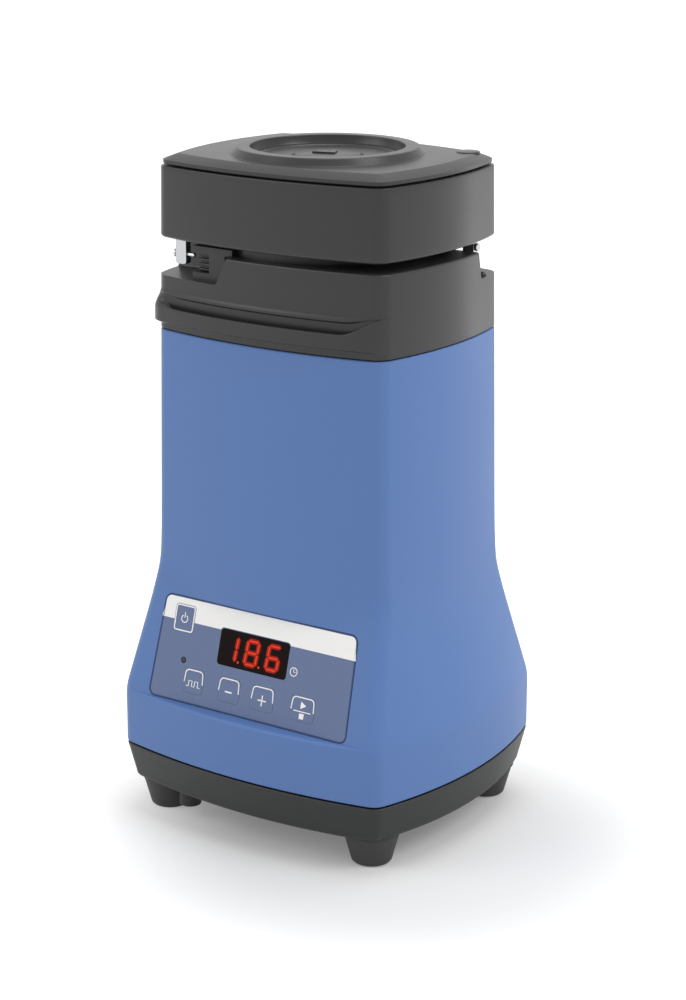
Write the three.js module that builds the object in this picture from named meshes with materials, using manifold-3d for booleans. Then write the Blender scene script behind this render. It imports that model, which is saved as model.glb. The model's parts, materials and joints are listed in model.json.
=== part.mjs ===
// Analytical mill: a drafted housing on a dark base pan, a collar that carries the grinding chamber,
// and a lid that two hanging steel bars lock down. Millimetres, +Z up. The origin is on the table,
// under the middle of the mill, and the panel faces -Y.
import * as THREE from "three";
import { mergeVertices } from "three/addons/utils/BufferGeometryUtils.js";
import Module from "manifold-3d";

const wasm = await Module();
wasm.setup();

// Shared small sizes
const gap = 0.3; // between pieces that seat on each other
const over = 1; // how far a cut runs past what it cuts
const weld = 0.001; // vertices nearer than this are one
const leastCorner = 0.8;

// Counts
const sideSteps = 4;
const cornerSteps = 3;
const edgeSteps = 3;
const roundSteps = 30;
const smallSteps = 10;
const midSteps = 18;
const ventCount = 7;
const insertRibs = 4;

// Housing wall, measured at the middle of each side; it widens a little from top to seam
const wall = {
  topZ: 177.4,
  halfX: 52.25,
  halfY: 41.63,
  sagX: 5.03,
  sagY: 5.7,
  corner: 6.6,
  draft: 2.25,
  draftY: 1.79,
  thick: 2.5,
};

// Base pan
const base = {
  seamZ: 26,
  halfX: 63.9,
  halfY: 56.2,
  sagX: 8.6,
  sagY: 6.4,
  corner: 6.2,
  taper: 3,
  edge: 3,
  lipThick: 1.6,
  lipHeight: 4,
  floor: 2.4,
  seamGap: 0.5,
};

// Skirt of the housing: a bowed band, then a flare with a flat facet at the front and the back
const band = { topZ: 46.6, edge: 1.2 };
const flare = { topZ: 95, sag: 2 };
const facet = { footShare: 0.608, headIn: 1.8, headZ: 82.8 };

// Feet and the screws that hold them
const feet = {
  insetX: 19.2,
  insetY: 18.9,
  height: 11.3,
  topRadius: 10,
  radius: 7.3,
  edge: 1.4,
  recess: 3.2,
};
const footScrew = { head: 3.4, headHeight: 2.3, shank: 2, length: 14 };
const footBoss = { radius: 6, height: 7 };
const lug = { insetX: 32.9, insetY: 13.2, radius: 4, lift: 2.6 };
const vent = { wide: 3, long: 34, pitch: 6.5 };

// Panel foil on the front facet, in the facet's own plane
const panel = {
  halfFoot: 42.8,
  halfHead: 41.5,
  height: 37.4,
  rise: 0.8,
  corner: 2.6,
  pocket: 0.9,
  thick: 0.6,
};
const windowPane = { left: -15.3, right: 14.6, low: 17.7, high: 30.5, seat: 1 };
const digits = { margin: 1.4 };
const led = { u: -29.8, v: 15.2, radius: 1, base: 1.5, length: 7.5 };
const keys = {
  key_power: { left: -36.4, right: -27.6, low: 25, high: 34.7 },
  key_interval: { left: -28.4, right: -19.7, low: 4.3, high: 12.8 },
  key_minus: { left: -13, right: -3.7, low: 4.3, high: 12.8 },
  key_plus: { left: 1.4, right: 11.2, low: 4.3, high: 12.8 },
  key_start: { left: 18.5, right: 28.6, low: 4.3, high: 12.8 },
};
const key = { corner: 1.2, proud: 0.15, skirt: 3, stem: 1.8, stemLength: 3.2, room: 0.8 };
const board = {
  halfWide: 39,
  low: 1.5,
  high: 35.6,
  thick: 1.6,
  behind: 9.2,
  post: 2.4,
  postIn: 3.9,
  postDrop: 11.5,
};
const keySwitch = { half: 3 };

// Mains inlet on the back facet
const inlet = {
  centreV: 15,
  halfWide: 13.7,
  halfHigh: 10.2,
  flange: 2.2,
  flangeThick: 2,
  deep: 19,
  mouthWide: 12,
  mouthHigh: 8.3,
  mouthDeep: 16,
  chamfer: 4,
  pinHalfWide: 1,
  pinHalfHigh: 2,
  pinLength: 12,
  pinPitch: 7,
  pinDrop: 2,
};

// Power board in the base pan
const supply = { halfX: 34, halfY: 24, thick: 1.6, lift: 8, post: 2.5, postIn: 4 };
const capacitor = { radius: 7, length: 24, x: 18, y: 8 };
const transformer = { halfX: 12, halfY: 10, height: 14, x: 16, y: 4 };

// Collar
const collar = {
  height: 28.9,
  skin: 2.5,
  bevel: 0.7,
  deck: 12.6,
  spigot: 6,
  spigotThick: 2,
};
const rim = { out: 2.2, lowUp: 3.2, highUp: 8.5, tipUp: 13 };
const trough = { leftIn: 10.2, wall: 1.3, back: 3.2, floorUp: 5, creaseUp: 13.2 };
const ledge_share = { frontFrom: 0.5, rightEnd: 0.93, leftEnd: 0.15, fade: 0.3 };
const notch = {
  drop: 9.6,
  inset: 9,
  rightFloor: 35,
  rightTop: 39.6,
  faceRun: 5.5,
  pocketInset: 16.8,
  cornerInset: 13,
  sideEnd: 20,
  sideSlant: 2,
};
const catchBlock = {
  insetX: 21.25,
  insetY: 5.1,
  long: 14,
  deep: 9.9,
  rise: 2.2,
  lipThick: 2.6,
  lipIn: 0.9,
  lipFoot: 38.4,
  windowLong: 7.2,
  windowLow: 2.6,
  windowDeep: 5.2,
};
const insert = { ribDeep: 1.1, back: 1.6, setback: 0.8 };

// Neck and chamber
const neck = { height: 4.7, room: 1.9 };
const chamber = { radius: 27.5, wall: 1.5, floor: 2, floorDrop: 1.4, flange: 33.8, flangeThick: 1.5 };
const seal = { radius: 6, height: 5, flange: 2 };

// Lid
const lid = { gap: 3.4, height: 25.4, thick: 2.5, top: 3, bevel: 1.1 };
const hub = { radius: 12 };
const cover = { groove: 0.5, inset: 0.6, edge: 1, slope: 6, height: 2.9, midShare: 0.75 };
const ring = {
  skirt: 33.5,
  shoulder: 32,
  land: 31,
  edge: 0.5,
  inner: 26.8,
  height: 2.5,
  dish: 3,
  draft: 0.4,
};
const dial = { outer: 23.5, inner: 12.6, boss: 11.6, sink: 0.4 };
const plug = { clearance: 0.5, flange: 33.4, flangeThick: 2, deep: 3.8, wall: 1.5, stem: 8 };
const lidSeal = { inner: 28.4, outer: 33, thick: 2 };
const retainer = { radius: 11, thick: 1.4, screw: 3, screwDeep: 6 };
const bar = { insetX: 15.45, insetY: 7.43, wide: 4.5, thick: 2.8, drop: 8.5, up: 14, boss: 2.6 };
const pin = { up: 3.4, radius: 0.8, head: 1.4, headLong: 1, reach: 3 };

// Interlock at the back right step
const plunger = { insetX: 5.3, y: 26.2, radius: 1.3, proud: 1.4, length: 6.6, room: 2 };
const lockSwitch = { left: 37.8, wide: 6, height: 8, leverThick: 1.2, leverHalf: 1.5 };

// Motor
const shaft = { radius: 4, footZ: 46, nutIn: 4.7 };
const bearing = { radius: 11, width: 7, lowerZ: 52, upperDrop: 16.5, lip: 1, lipDeep: 0.5 };
const armature = { radius: 19, lowZ: 80, highZ: 125, slotDeep: 5, slotWide: 2.4, coil: 16, coilHigh: 5.5 };
const armatureSlots = 12;
const commutator = {
  radius: 10.5,
  lowZ: 62,
  highZ: 73.5,
  riserRadius: 12,
  riserHigh: 2,
  groove: 0.6,
  grooveDeep: 1,
};
const fan = { radius: 29.5, hub: 9, lowZ: 133, highZ: 147, plate: 1.6, bladeThick: 1.6 };
const fanBlades = 9;
const stator = { half: 31, corner: 6, air: 0.6, slotIn: 14.5, slotOut: 22, bolt: 26 };
const coil = { inner: 21, outer: 27, high: 5.3, turn: (52 * Math.PI) / 180 };
const bracket = { plate: 4, leg: 3.2, seat: 3, plateX: 41, plateY: 29, corner: 5, wall: 3, web: 5 };
const column = { x: 35, y: 18.5, radius: 5 };
const motorScrew = { head: 3, headHeight: 2.4, shank: 1.6, length: 14 };
const brush = { half: 2.4, high: 3, wall: 1, inner: 0.5, length: 12.5, holder: 13, stub: 1.5, shelf: 29 };

// Blade
const blade = {
  hub: 6.5,
  hubHigh: 3,
  inner: 4.8,
  bend: 14,
  reach: 23.5,
  wide: 8,
  tipWide: 5,
  thick: 2,
  rise: 2,
};
const nut = { across: 5.9, height: 5, dome: 2, shoulder: 4.6, crown: 2.2 };

// Derived levels and places
const collarTop = wall.topZ + collar.height;
const collarFoot = wall.topZ + gap;
const lidFoot = collarTop + lid.gap;
const lidTop = lidFoot + lid.height;
const coverFoot = lidTop + cover.groove;
const coverTop = coverFoot + cover.height;
const deckUnder = collarTop - collar.deck;
const notchFloor = collarTop - notch.drop;
const panTop = base.seamZ - base.seamGap;
const neckTop = collarTop + neck.height;
const lidDraft = (wall.draftY * (lidTop - wall.topZ)) / (wall.topZ - base.seamZ);
const neckRadius = wall.halfY - lidDraft - lid.thick - neck.room;
const chamberOuter = chamber.radius + chamber.wall;
const rimTop = neckTop + gap + chamber.flangeThick;
const chamberFloor = wall.topZ - chamber.floorDrop;
const plugTop = rimTop + gap + lidSeal.thick + gap + plug.flangeThick;
const sealFoot = chamberFloor - chamber.floor - seal.flange;
const bladeFoot = sealFoot + seal.height + gap;
const shaftHead = bladeFoot + blade.hubHigh + shaft.nutIn;
const brushZ = (commutator.lowZ + commutator.highZ - commutator.riserHigh) / 2;
const barX = wall.halfX - bar.insetX;
const barY = wall.halfY - bar.insetY;
const barFoot = lidFoot - bar.drop;
const facetFootZ = band.topZ;
const facetFootY = mix(wallHalf(facetFootZ)[1], base.halfY, facet.footShare);
const facetHeadY = wallHalf(facet.headZ)[1] - facet.headIn;
const facetTilt = Math.atan2(facetFootY - facetHeadY, facet.headZ - facetFootZ);
const feetX = base.halfX - feet.insetX;
const feetY = base.halfY - feet.insetY;
const lugX = base.halfX - lug.insetX;
const lugY = base.halfY - lug.insetY;
const upperBearingZ = wall.topZ - bearing.upperDrop;
const bracketTop = upperBearingZ + bearing.width + bracket.seat;
const stemTop = lidTop - retainer.thick - 2 * gap;
const foilTop = gap - panel.pocket + panel.thick;
const wallInside = -panel.pocket - wall.thick;
const stemFoot = foilTop + key.proud - key.skirt - key.stemLength;
const notchFaceY = wall.halfY - notch.inset;
const plungerX = wall.halfX - plunger.insetX;
const leverTop = notchFloor + plunger.proud - plunger.length - plunger.room;
const leverEnd = plungerX + plunger.radius;

// Materials
function paint(color, roughness, metalness = 0) {
  return new THREE.MeshStandardMaterial({ color, roughness, metalness });
}
const blue = paint(0x5f7bad, 0.5);
const darkPlastic = paint(0x4a4a4a, 0.55);
const basePlastic = paint(0x464847, 0.6);
const rubber = paint(0x2b2c2c, 0.85);
const foilBlue = paint(0x68789b, 0.45);
const smoked = paint(0x180808, 0.15);
const redLight = paint(0xd02014, 0.4);
const boardGreen = paint(0x1d5a38, 0.6);
const steel = paint(0xc9cbcc, 0.25, 1);
const laminated = paint(0x6d7074, 0.5, 0.8);
const copper = paint(0xb4673a, 0.35, 0.9);
const zincCast = paint(0x9a9c9e, 0.5, 0.8);
const carbon = paint(0x1f1f20, 0.7);
const silicone = paint(0xb9b2a4, 0.6);
const moulded = paint(0x222324, 0.6);

// Turns a closed geometry into a solid that can be joined and cut.
function solid(geometry) {
  const bare = geometry.index ? geometry.toNonIndexed() : geometry.clone();
  for (const name of Object.keys(bare.attributes)) if (name !== "position") bare.deleteAttribute(name);
  const merged = mergeVertices(bare, weld);
  const index = merged.index.array;
  const kept = [];
  for (let i = 0; i < index.length; i += 3) {
    const [a, b, c] = [index[i], index[i + 1], index[i + 2]];
    if (a !== b && b !== c && c !== a) kept.push(a, b, c);
  }
  const vertProperties = merged.attributes.position.array;
  return new wasm.Manifold(new wasm.Mesh({ numProp: 3, vertProperties, triVerts: new Uint32Array(kept) }));
}

function geometryOf(body) {
  const mesh = body.getMesh();
  const geometry = new THREE.BufferGeometry();
  const positions = new Float32Array(mesh.vertProperties);
  geometry.setAttribute("position", new THREE.BufferAttribute(positions, mesh.numProp));
  geometry.setIndex(new THREE.BufferAttribute(new Uint32Array(mesh.triVerts), 1));
  geometry.computeVertexNormals();
  return geometry;
}

const joined = (first, ...rest) => rest.reduce((whole, piece) => whole.add(piece), first);
const without = (first, ...cuts) => cuts.reduce((whole, cut) => whole.subtract(cut), first);

// Basic shapes, each a closed geometry standing along +Z
function box(x0, x1, y0, y1, z0, z1) {
  const geometry = new THREE.BoxGeometry(x1 - x0, y1 - y0, z1 - z0);
  return geometry.translate((x0 + x1) / 2, (y0 + y1) / 2, (z0 + z1) / 2);
}
function centredBox(x, y, halfX, halfY, z0, z1) {
  return box(x - halfX, x + halfX, y - halfY, y + halfY, z0, z1);
}

function cylinder(radius, z0, z1, steps = roundSteps, topRadius = radius) {
  const geometry = new THREE.CylinderGeometry(topRadius, radius, z1 - z0, steps);
  return geometry.rotateX(Math.PI / 2).translate(0, 0, (z0 + z1) / 2);
}
function peg(x, y, radius, z0, z1) {
  return cylinder(radius, z0, z1, smallSteps).translate(x, y, 0);
}

// A body turned about Z from an outline of [radius, height] pairs
function revolve(profile, steps = roundSteps) {
  const closed = profile[0][0] > 0 ? [...profile, profile[0]] : profile;
  let area = 0;
  closed.forEach(([r, z], i) => {
    const [r2, z2] = closed[(i + 1) % closed.length];
    area += r * z2 - r2 * z;
  });
  const ordered = area > 0 ? closed : [...closed].reverse();
  const points = ordered.map(([r, z]) => new THREE.Vector2(r, z));
  return new THREE.LatheGeometry(points, steps).rotateX(Math.PI / 2);
}

function prism(points, z0, z1) {
  const shape = new THREE.Shape(points);
  const geometry = new THREE.ExtrudeGeometry(shape, { depth: z1 - z0, bevelEnabled: false });
  return geometry.translate(0, 0, z0);
}

// A closed body through rings of equally many points, capped at both ends
function loft(rings) {
  const count = rings[0].length;
  const faces = [];
  for (let k = 0; k + 1 < rings.length; k++)
    for (let i = 0; i < count; i++) {
      const [a, b] = [k * count + i, k * count + ((i + 1) % count)];
      faces.push(a, b, b + count, a, b + count, a + count);
    }
  const flat = rings[0].map((p) => new THREE.Vector2(p.x, p.y));
  const last = (rings.length - 1) * count;
  for (const [a, b, c] of THREE.ShapeUtils.triangulateShape(flat, [])) {
    const turn = flat[b].clone().sub(flat[a]).cross(flat[c].clone().sub(flat[a]));
    const [p, q, r] = turn > 0 ? [a, b, c] : [a, c, b];
    faces.push(p, r, q, last + p, last + q, last + r);
  }
  return surface(rings.flat(), faces);
}
function surface(points, faces) {
  const geometry = new THREE.BufferGeometry();
  const positions = points.flatMap((p) => [p.x, p.y, p.z]);
  geometry.setAttribute("position", new THREE.Float32BufferAttribute(positions, 3));
  geometry.setIndex(faces);
  return geometry;
}

const level = (points, z) => points.map((p) => new THREE.Vector3(p.x, p.y, z));
const point = (x, y) => new THREE.Vector2(x, y);
function mix(a, b, t) {
  return a + (b - a) * t;
}
const corners = [
  [1, -1],
  [1, 1],
  [-1, 1],
  [-1, -1],
];
const halfTurned = (body) => body.rotate([0, 0, 180]);

// A rectangle with bowed sides and rounded corners; half sizes are at the middle of each side
function bowed(halfX, halfY, sagX, sagY, wantedCorner) {
  const corner = Math.max(wantedCorner, leastCorner);
  const [edgeX, edgeY] = [halfX - sagX, halfY - sagY];
  const radiusX = (edgeY * edgeY + sagX * sagX) / (2 * sagX);
  const radiusY = (edgeX * edgeX + sagY * sagY) / (2 * sagY);
  const [centreX, centreY] = [halfX - radiusX, halfY - radiusY];
  const [reachX, reachY] = [radiusX - corner, radiusY - corner];
  const apart = Math.hypot(centreX, centreY);
  const along = (reachX * reachX - reachY * reachY + apart * apart) / (2 * apart);
  const across = Math.sqrt(reachX * reachX - along * along);
  const [ux, uy] = [-centreX / apart, centreY / apart];
  const meet = point(centreX + along * ux, along * uy);
  const fillet = [1, -1]
    .map((s) => point(meet.x - s * uy * across, meet.y + s * ux * across))
    .sort((p, q) => q.x + q.y - p.x - p.y)[0];
  const startTurn = Math.atan2(fillet.y, fillet.x - centreX);
  const endTurn = Math.atan2(fillet.y - centreY, fillet.x);
  const quarter = [];
  const arc = (cx, cy, r, t0, t1, steps) => {
    for (let i = 0; i < steps; i++) {
      const t = mix(t0, t1, i / steps);
      quarter.push(point(cx + r * Math.cos(t), cy + r * Math.sin(t)));
    }
  };
  arc(centreX, 0, radiusX, 0, startTurn, sideSteps);
  arc(fillet.x, fillet.y, corner, startTurn, endTurn, cornerSteps);
  arc(0, centreY, radiusY, endTurn, Math.PI / 2, sideSteps);
  const mirrored = quarter.slice(1).reverse();
  return [
    ...quarter,
    point(0, halfY),
    ...mirrored.map((p) => point(-p.x, p.y)),
    ...quarter.map((p) => point(-p.x, -p.y)),
    point(0, -halfY),
    ...mirrored.map((p) => point(p.x, -p.y)),
  ];
}

// Plan outlines: of the drafted wall at a height, of the base, and of the top of the flare
function wallShare(z) {
  return (wall.topZ - z) / (wall.topZ - base.seamZ);
}
function wallHalf(z) {
  return [wall.halfX + wall.draft * wallShare(z), wall.halfY + wall.draftY * wallShare(z)];
}
function wallOutline(z, grow = 0) {
  const [halfX, halfY] = wallHalf(z);
  return bowed(halfX + grow, halfY + grow, wall.sagX, wall.sagY, wall.corner + grow);
}
function baseOutline(grow = 0) {
  return bowed(base.halfX + grow, base.halfY + grow, base.sagX, base.sagY, base.corner + grow);
}
function flareTopOutline(grow = 0) {
  const [halfX, halfY] = wallHalf(flare.topZ);
  const [x, y] = [halfX - wall.sagX + flare.sag, halfY - wall.sagY + flare.sag];
  return bowed(x + grow, y + grow, flare.sag, flare.sag, wall.corner + grow);
}

// The facet's own frame: X to the right, Y up the slope, Z out of the housing
function facetFrame(turn) {
  const frame = new THREE.Matrix4().makeRotationZ(turn);
  frame.multiply(new THREE.Matrix4().makeTranslation(0, -facetFootY, facetFootZ));
  return frame.multiply(new THREE.Matrix4().makeRotationX(Math.PI / 2 - facetTilt));
}
const front = facetFrame(0);
const rear = facetFrame(Math.PI);
const onFacet = (geometry, frame = front) => solid(geometry.applyMatrix4(frame));

// A straight-sided outline with rounded corners; lean draws its upper corners in
function rounded(left, right, low, high, corner, lean = 0) {
  const shape = new THREE.Shape();
  const [topLeft, topRight] = [left + lean, right - lean];
  shape.moveTo(left + corner, low);
  shape.lineTo(right - corner, low);
  shape.quadraticCurveTo(right, low, right, low + corner);
  shape.lineTo(topRight, high - corner);
  shape.quadraticCurveTo(topRight, high, topRight - corner, high);
  shape.lineTo(topLeft + corner, high);
  shape.quadraticCurveTo(topLeft, high, topLeft, high - corner);
  shape.lineTo(left, low + corner);
  shape.quadraticCurveTo(left, low, left + corner, low);
  return shape.getPoints(cornerSteps).slice(0, -1);
}
function panelOutline(grow) {
  const [low, high] = [panel.rise - grow, panel.rise + panel.height + grow];
  const [side, lean] = [panel.halfFoot + grow, panel.halfFoot - panel.halfHead];
  return rounded(-side, side, low, high, panel.corner + grow, lean);
}
const holeOutline = (hole, grow) =>
  rounded(hole.left - grow, hole.right + grow, hole.low - grow, hole.high + grow, key.corner + grow);
const middle = (hole) => [(hole.left + hole.right) / 2, (hole.low + hole.high) / 2];

// Base pan: a tray with a rounded lower edge, foot bosses, board posts, vents and a locating lip
function basePan() {
  const rings = [];
  for (let k = 0; k <= edgeSteps; k++) {
    const t = (k / edgeSteps) * (Math.PI / 2);
    const grow = -base.taper - base.edge * (1 - Math.sin(t));
    rings.push(level(baseOutline(grow), feet.height + base.edge * (1 - Math.cos(t))));
  }
  rings.push(level(baseOutline(), panTop));
  const inside = wall.thick + gap + base.lipThick;
  const floorTop = feet.height + base.floor;
  const lipTop = panTop + base.lipHeight;
  const cavity = loft([
    level(baseOutline(-inside - base.taper), floorTop),
    level(baseOutline(-inside), panTop),
    level(baseOutline(-inside), lipTop + over),
  ]);
  const lip = prism(baseOutline(-wall.thick - gap), panTop - over, lipTop);
  let pan = without(joined(solid(loft(rings)), solid(lip)), solid(cavity));
  for (const [sx, sy] of corners) {
    const bossTop = floorTop + footBoss.height;
    const [x, y] = [sx * (supply.halfX - supply.postIn), sy * (supply.halfY - supply.postIn)];
    pan = pan.add(solid(peg(sx * feetX, sy * feetY, footBoss.radius, feet.height, bossTop)));
    pan = pan.add(solid(peg(x, y, supply.post, feet.height + over, floorTop + supply.lift)));
    pan = pan.subtract(solid(peg(sx * feetX, sy * feetY, footScrew.shank + gap, 0, bossTop + over)));
  }
  for (let k = 0; k < ventCount; k++) {
    const x = (k - (ventCount - 1) / 2) * vent.pitch;
    pan = pan.subtract(solid(centredBox(x, 0, vent.wide / 2, vent.long / 2, 0, floorTop + over)));
  }
  return pan;
}

// Round stub under the pan, beside the front left foot
const baseLug = () => cylinder(lug.radius, lug.lift, feet.height - gap, midSteps);

// Rubber foot with a through hole and a recess for the head of its screw
function foot() {
  const bore = footScrew.shank + gap;
  const [pocket, pocketTop] = [footScrew.head + gap, feet.recess + footScrew.headHeight + gap];
  return revolve([
    [pocket, 0],
    [feet.radius - feet.edge, 0],
    [feet.radius, feet.edge],
    [feet.topRadius, feet.height - gap],
    [bore, feet.height - gap],
    [bore, pocketTop],
    [pocket, pocketTop],
  ], midSteps);
}
function screw(size) {
  const top = size.headHeight + size.length;
  return revolve([[0, 0], [size.head, 0], [size.head, size.headHeight], [size.shank, size.headHeight],
    [size.shank, top], [0, top]], smallSteps);
}

// Everything in front of a facet, or of a plane some depth behind it, up to a height on the slope
function facetBlock(depth, high, frame) {
  const side = base.halfX + over;
  return onFacet(box(-side, side, -base.seamZ, high, -depth, base.halfY), frame);
}

// Housing: the outer form, then the space inside it
function housingOuter() {
  const straight = loft([
    level(wallOutline(base.seamZ), base.seamZ),
    level(wallOutline(wall.topZ), wall.topZ),
  ]);
  const skirt = loft([
    level(baseOutline(), base.seamZ),
    level(baseOutline(), band.topZ - band.edge),
    level(baseOutline(-band.edge), band.topZ),
  ]);
  const slope = loft([level(baseOutline(), band.topZ - band.edge), level(flareTopOutline(), flare.topZ)]);
  const reach = (flare.topZ - facetFootZ) / Math.cos(facetTilt) + over;
  const cut = without(solid(slope), facetBlock(0, reach, front), facetBlock(0, reach, rear));
  return joined(solid(straight), cut, solid(skirt));
}
function housingInner() {
  const t = wall.thick;
  const low = base.seamZ - over;
  const high = wall.topZ + over;
  const straight = loft([level(wallOutline(low, -t), low), level(wallOutline(high, -t), high)]);
  const skirt = loft([level(baseOutline(-t), low), level(baseOutline(-t), band.topZ - t)]);
  const slope = loft([
    level(baseOutline(-t), band.topZ - t - over),
    level(flareTopOutline(-t), flare.topZ - t),
  ]);
  const head = panel.rise + panel.height + t;
  const blocks = [front, rear].map((frame) => facetBlock(-wallInside, head, frame));
  return without(joined(solid(straight), solid(slope)), ...blocks).add(solid(skirt));
}
function housingShell() {
  const inward = gap - board.behind;
  const cuts = [onFacet(prism(panelOutline(gap), -panel.pocket, base.halfY))];
  for (const hole of Object.values(keys)) cuts.push(onFacet(prism(holeOutline(hole, gap), inward, 0)));
  cuts.push(onFacet(prism(holeOutline(windowPane, -windowPane.seat), inward, 0)));
  cuts.push(onFacet(peg(led.u, led.v, led.radius + gap, inward, 0)));
  cuts.push(onFacet(peg(led.u, led.v, led.base + gap, inward, wallInside)));
  const [w, h] = [inlet.halfWide, inlet.halfHigh];
  cuts.push(onFacet(box(-w, w, inlet.centreV - h, inlet.centreV + h, inward, over), rear));
  let shell = without(housingOuter(), housingInner());
  for (const cut of cuts) shell = shell.subtract(cut);
  for (const [u, v] of boardPosts())
    shell = shell.add(onFacet(peg(u, v, board.post, gap - board.behind, wallInside + gap)));
  return shell;
}
function boardPosts() {
  const side = board.halfWide - board.postIn;
  const [low, high] = [board.low + board.postIn, board.high - board.postIn];
  return [[-side, high - board.postDrop], [side, low], [side, high]];
}

// Pieces of the panel, in the facet's frame
function panelFoil() {
  const low = foilTop - panel.thick;
  const [under, above] = [low - over, foilTop + over];
  const holes = [...Object.values(keys), windowPane];
  const cuts = holes.map((hole) => solid(prism(holeOutline(hole, gap), under, above)));
  cuts.push(solid(peg(led.u, led.v, led.radius + gap, under, above)));
  return without(solid(prism(panelOutline(0), low, foilTop)), ...cuts);
}
const pane = () => prism(holeOutline(windowPane, 0), foilTop - panel.thick, foilTop);
function displayModule() {
  const m = digits.margin;
  const { left, right, low, high } = windowPane;
  return box(left + m, right - m, low + m, high - m, gap - board.behind, -panel.pocket);
}
function keyCap(hole) {
  const [low, top] = [foilTop + key.proud - key.skirt, foilTop + key.proud];
  const stem = solid(peg(...middle(hole), key.stem, stemFoot, low + over));
  return solid(prism(holeOutline(hole, 0), low, top)).add(stem);
}
function statusLed() {
  const [low, shoulder] = [foilTop - led.length, wallInside - gap];
  return revolve([[0, low], [led.base, low], [led.base, shoulder], [led.radius, shoulder],
    [led.radius, foilTop - gap], [0, foilTop]], smallSteps);
}
function controlBoard() {
  const top = -board.behind;
  const [low, s] = [top - board.thick / 2, keySwitch.half];
  let card = solid(box(-board.halfWide, board.halfWide, board.low, board.high, top - board.thick, top));
  for (const hole of Object.values(keys))
    card = card.add(solid(centredBox(...middle(hole), s, s, low, stemFoot - key.room)));
  return card.add(solid(peg(led.u, led.v, led.base, low, foilTop - led.length - gap)));
}

// Mains inlet: flanged body with a six-sided mouth and three pins
function mainsInlet() {
  const { halfWide, halfHigh, mouthWide: w, mouthHigh: h, chamfer: c } = inlet;
  const top = gap + inlet.flangeThick;
  const floor = top - inlet.mouthDeep;
  const flange = centredBox(0, 0, halfWide + inlet.flange, halfHigh + inlet.flange, gap, top);
  const body = centredBox(0, 0, halfWide - gap, halfHigh - gap, -inlet.deep, gap + over);
  const mouth = [
    point(-w, -h),
    point(w, -h),
    point(w, h - c),
    point(w - c, h),
    point(c - w, h),
    point(-w, h - c),
  ];
  let made = joined(solid(flange), solid(body)).subtract(solid(prism(mouth, floor, top + over)));
  for (const k of [-1, 0, 1]) {
    const [u, v] = [k * inlet.pinPitch, k ? -inlet.pinDrop : inlet.pinDrop];
    const [low, high] = [floor - over, floor + inlet.pinLength];
    made = made.add(solid(centredBox(u, v, inlet.pinHalfWide, inlet.pinHalfHigh, low, high)));
  }
  return made;
}

function powerBoard() {
  const low = feet.height + base.floor + supply.lift + gap;
  const top = low + supply.thick;
  const card = centredBox(0, 0, supply.halfX, supply.halfY, low, top);
  const can = cylinder(capacitor.radius, -capacitor.length / 2, capacitor.length / 2, smallSteps);
  can.rotateY(Math.PI / 2).translate(-capacitor.x, capacitor.y, top + capacitor.radius - over);
  const t = transformer;
  const core = centredBox(t.x, -t.y, t.halfX, t.halfY, low + supply.thick / 2, top + t.height);
  return joined(solid(card), solid(can), solid(core));
}

// Moves each point of an outline outwards along its normal by its own distance
function pushed(points, distances) {
  const count = points.length;
  return points.map((p, i) => {
    const along = points[(i + 1) % count].clone().sub(points[(i + count - 1) % count]).normalize();
    return point(p.x + along.y * distances[i], p.y - along.x * distances[i]);
  });
}

// How much of the ledge stands at a place on the outline: all of it along the front and round the
// front left corner, none past its two ends
function ledgeShare(p) {
  const smooth = (t) => {
    const c = Math.min(Math.max(t, 0), 1);
    return c * c * (3 - 2 * c);
  };
  const s = ledge_share;
  const [u, v] = [p.x / wall.halfX, p.y / wall.halfY];
  if (v > s.leftEnd || (u > 0 && v > -s.frontFrom)) return 0;
  const onLeft = u < 0 ? smooth((s.leftEnd - v) / s.fade) : 1;
  return Math.min(onLeft, smooth((s.rightEnd - u) / s.fade));
}

// A strip of the ledge between two offsets from the wall, with its own two heights at each point
function ledgeStrip(outer, inner, lowAt, highAt) {
  const outline = wallOutline(wall.topZ);
  const count = outline.length;
  const shares = outline.map(ledgeShare);
  const first = shares.findIndex((s, i) => s > 0 && !shares[(i + count - 1) % count]);
  const run = [(first + count - 1) % count];
  for (let i = first; shares[i % count] > 0; i++) run.push(i % count);
  run.push((run[run.length - 1] + 1) % count);
  const [outside, inside] = [outer, inner].map((offset) => pushed(outline, shares.map(offset)));
  const ordered = run.map((i) => [outside[i], shares[i]]);
  ordered.push(...run.map((i) => [inside[i], shares[i]]).reverse());
  const at = (height) => ordered.map(([p, s]) => new THREE.Vector3(p.x, p.y, height(s)));
  return solid(loft([at(lowAt), at(highAt)]));
}

// The step in the front left corner: a floor, an inner wall with a deeper pocket beside the catch,
// and a slanted end at the front and at the side
function notchCut() {
  const far = wall.halfX + wall.halfY;
  const x = catchBlock.insetX - wall.halfX;
  const at = (right, slant) => [
    point(right - wall.halfX, -far),
    point(right - wall.halfX, -wall.halfY),
    point(right - notch.faceRun - wall.halfX, -notchFaceY),
    point(x, -notchFaceY),
    point(x, notch.pocketInset - wall.halfY),
    point(notch.cornerInset - wall.halfX, slant - notch.sideEnd),
    point(-far, slant - notch.sideEnd),
    point(-far, -far),
  ];
  const top = collarTop + over;
  const [floor, mouth] = [at(notch.rightFloor, 0), at(notch.rightTop, notch.sideSlant)];
  return solid(loft([level(floor, notchFloor), level(mouth, top)]));
}

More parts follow.
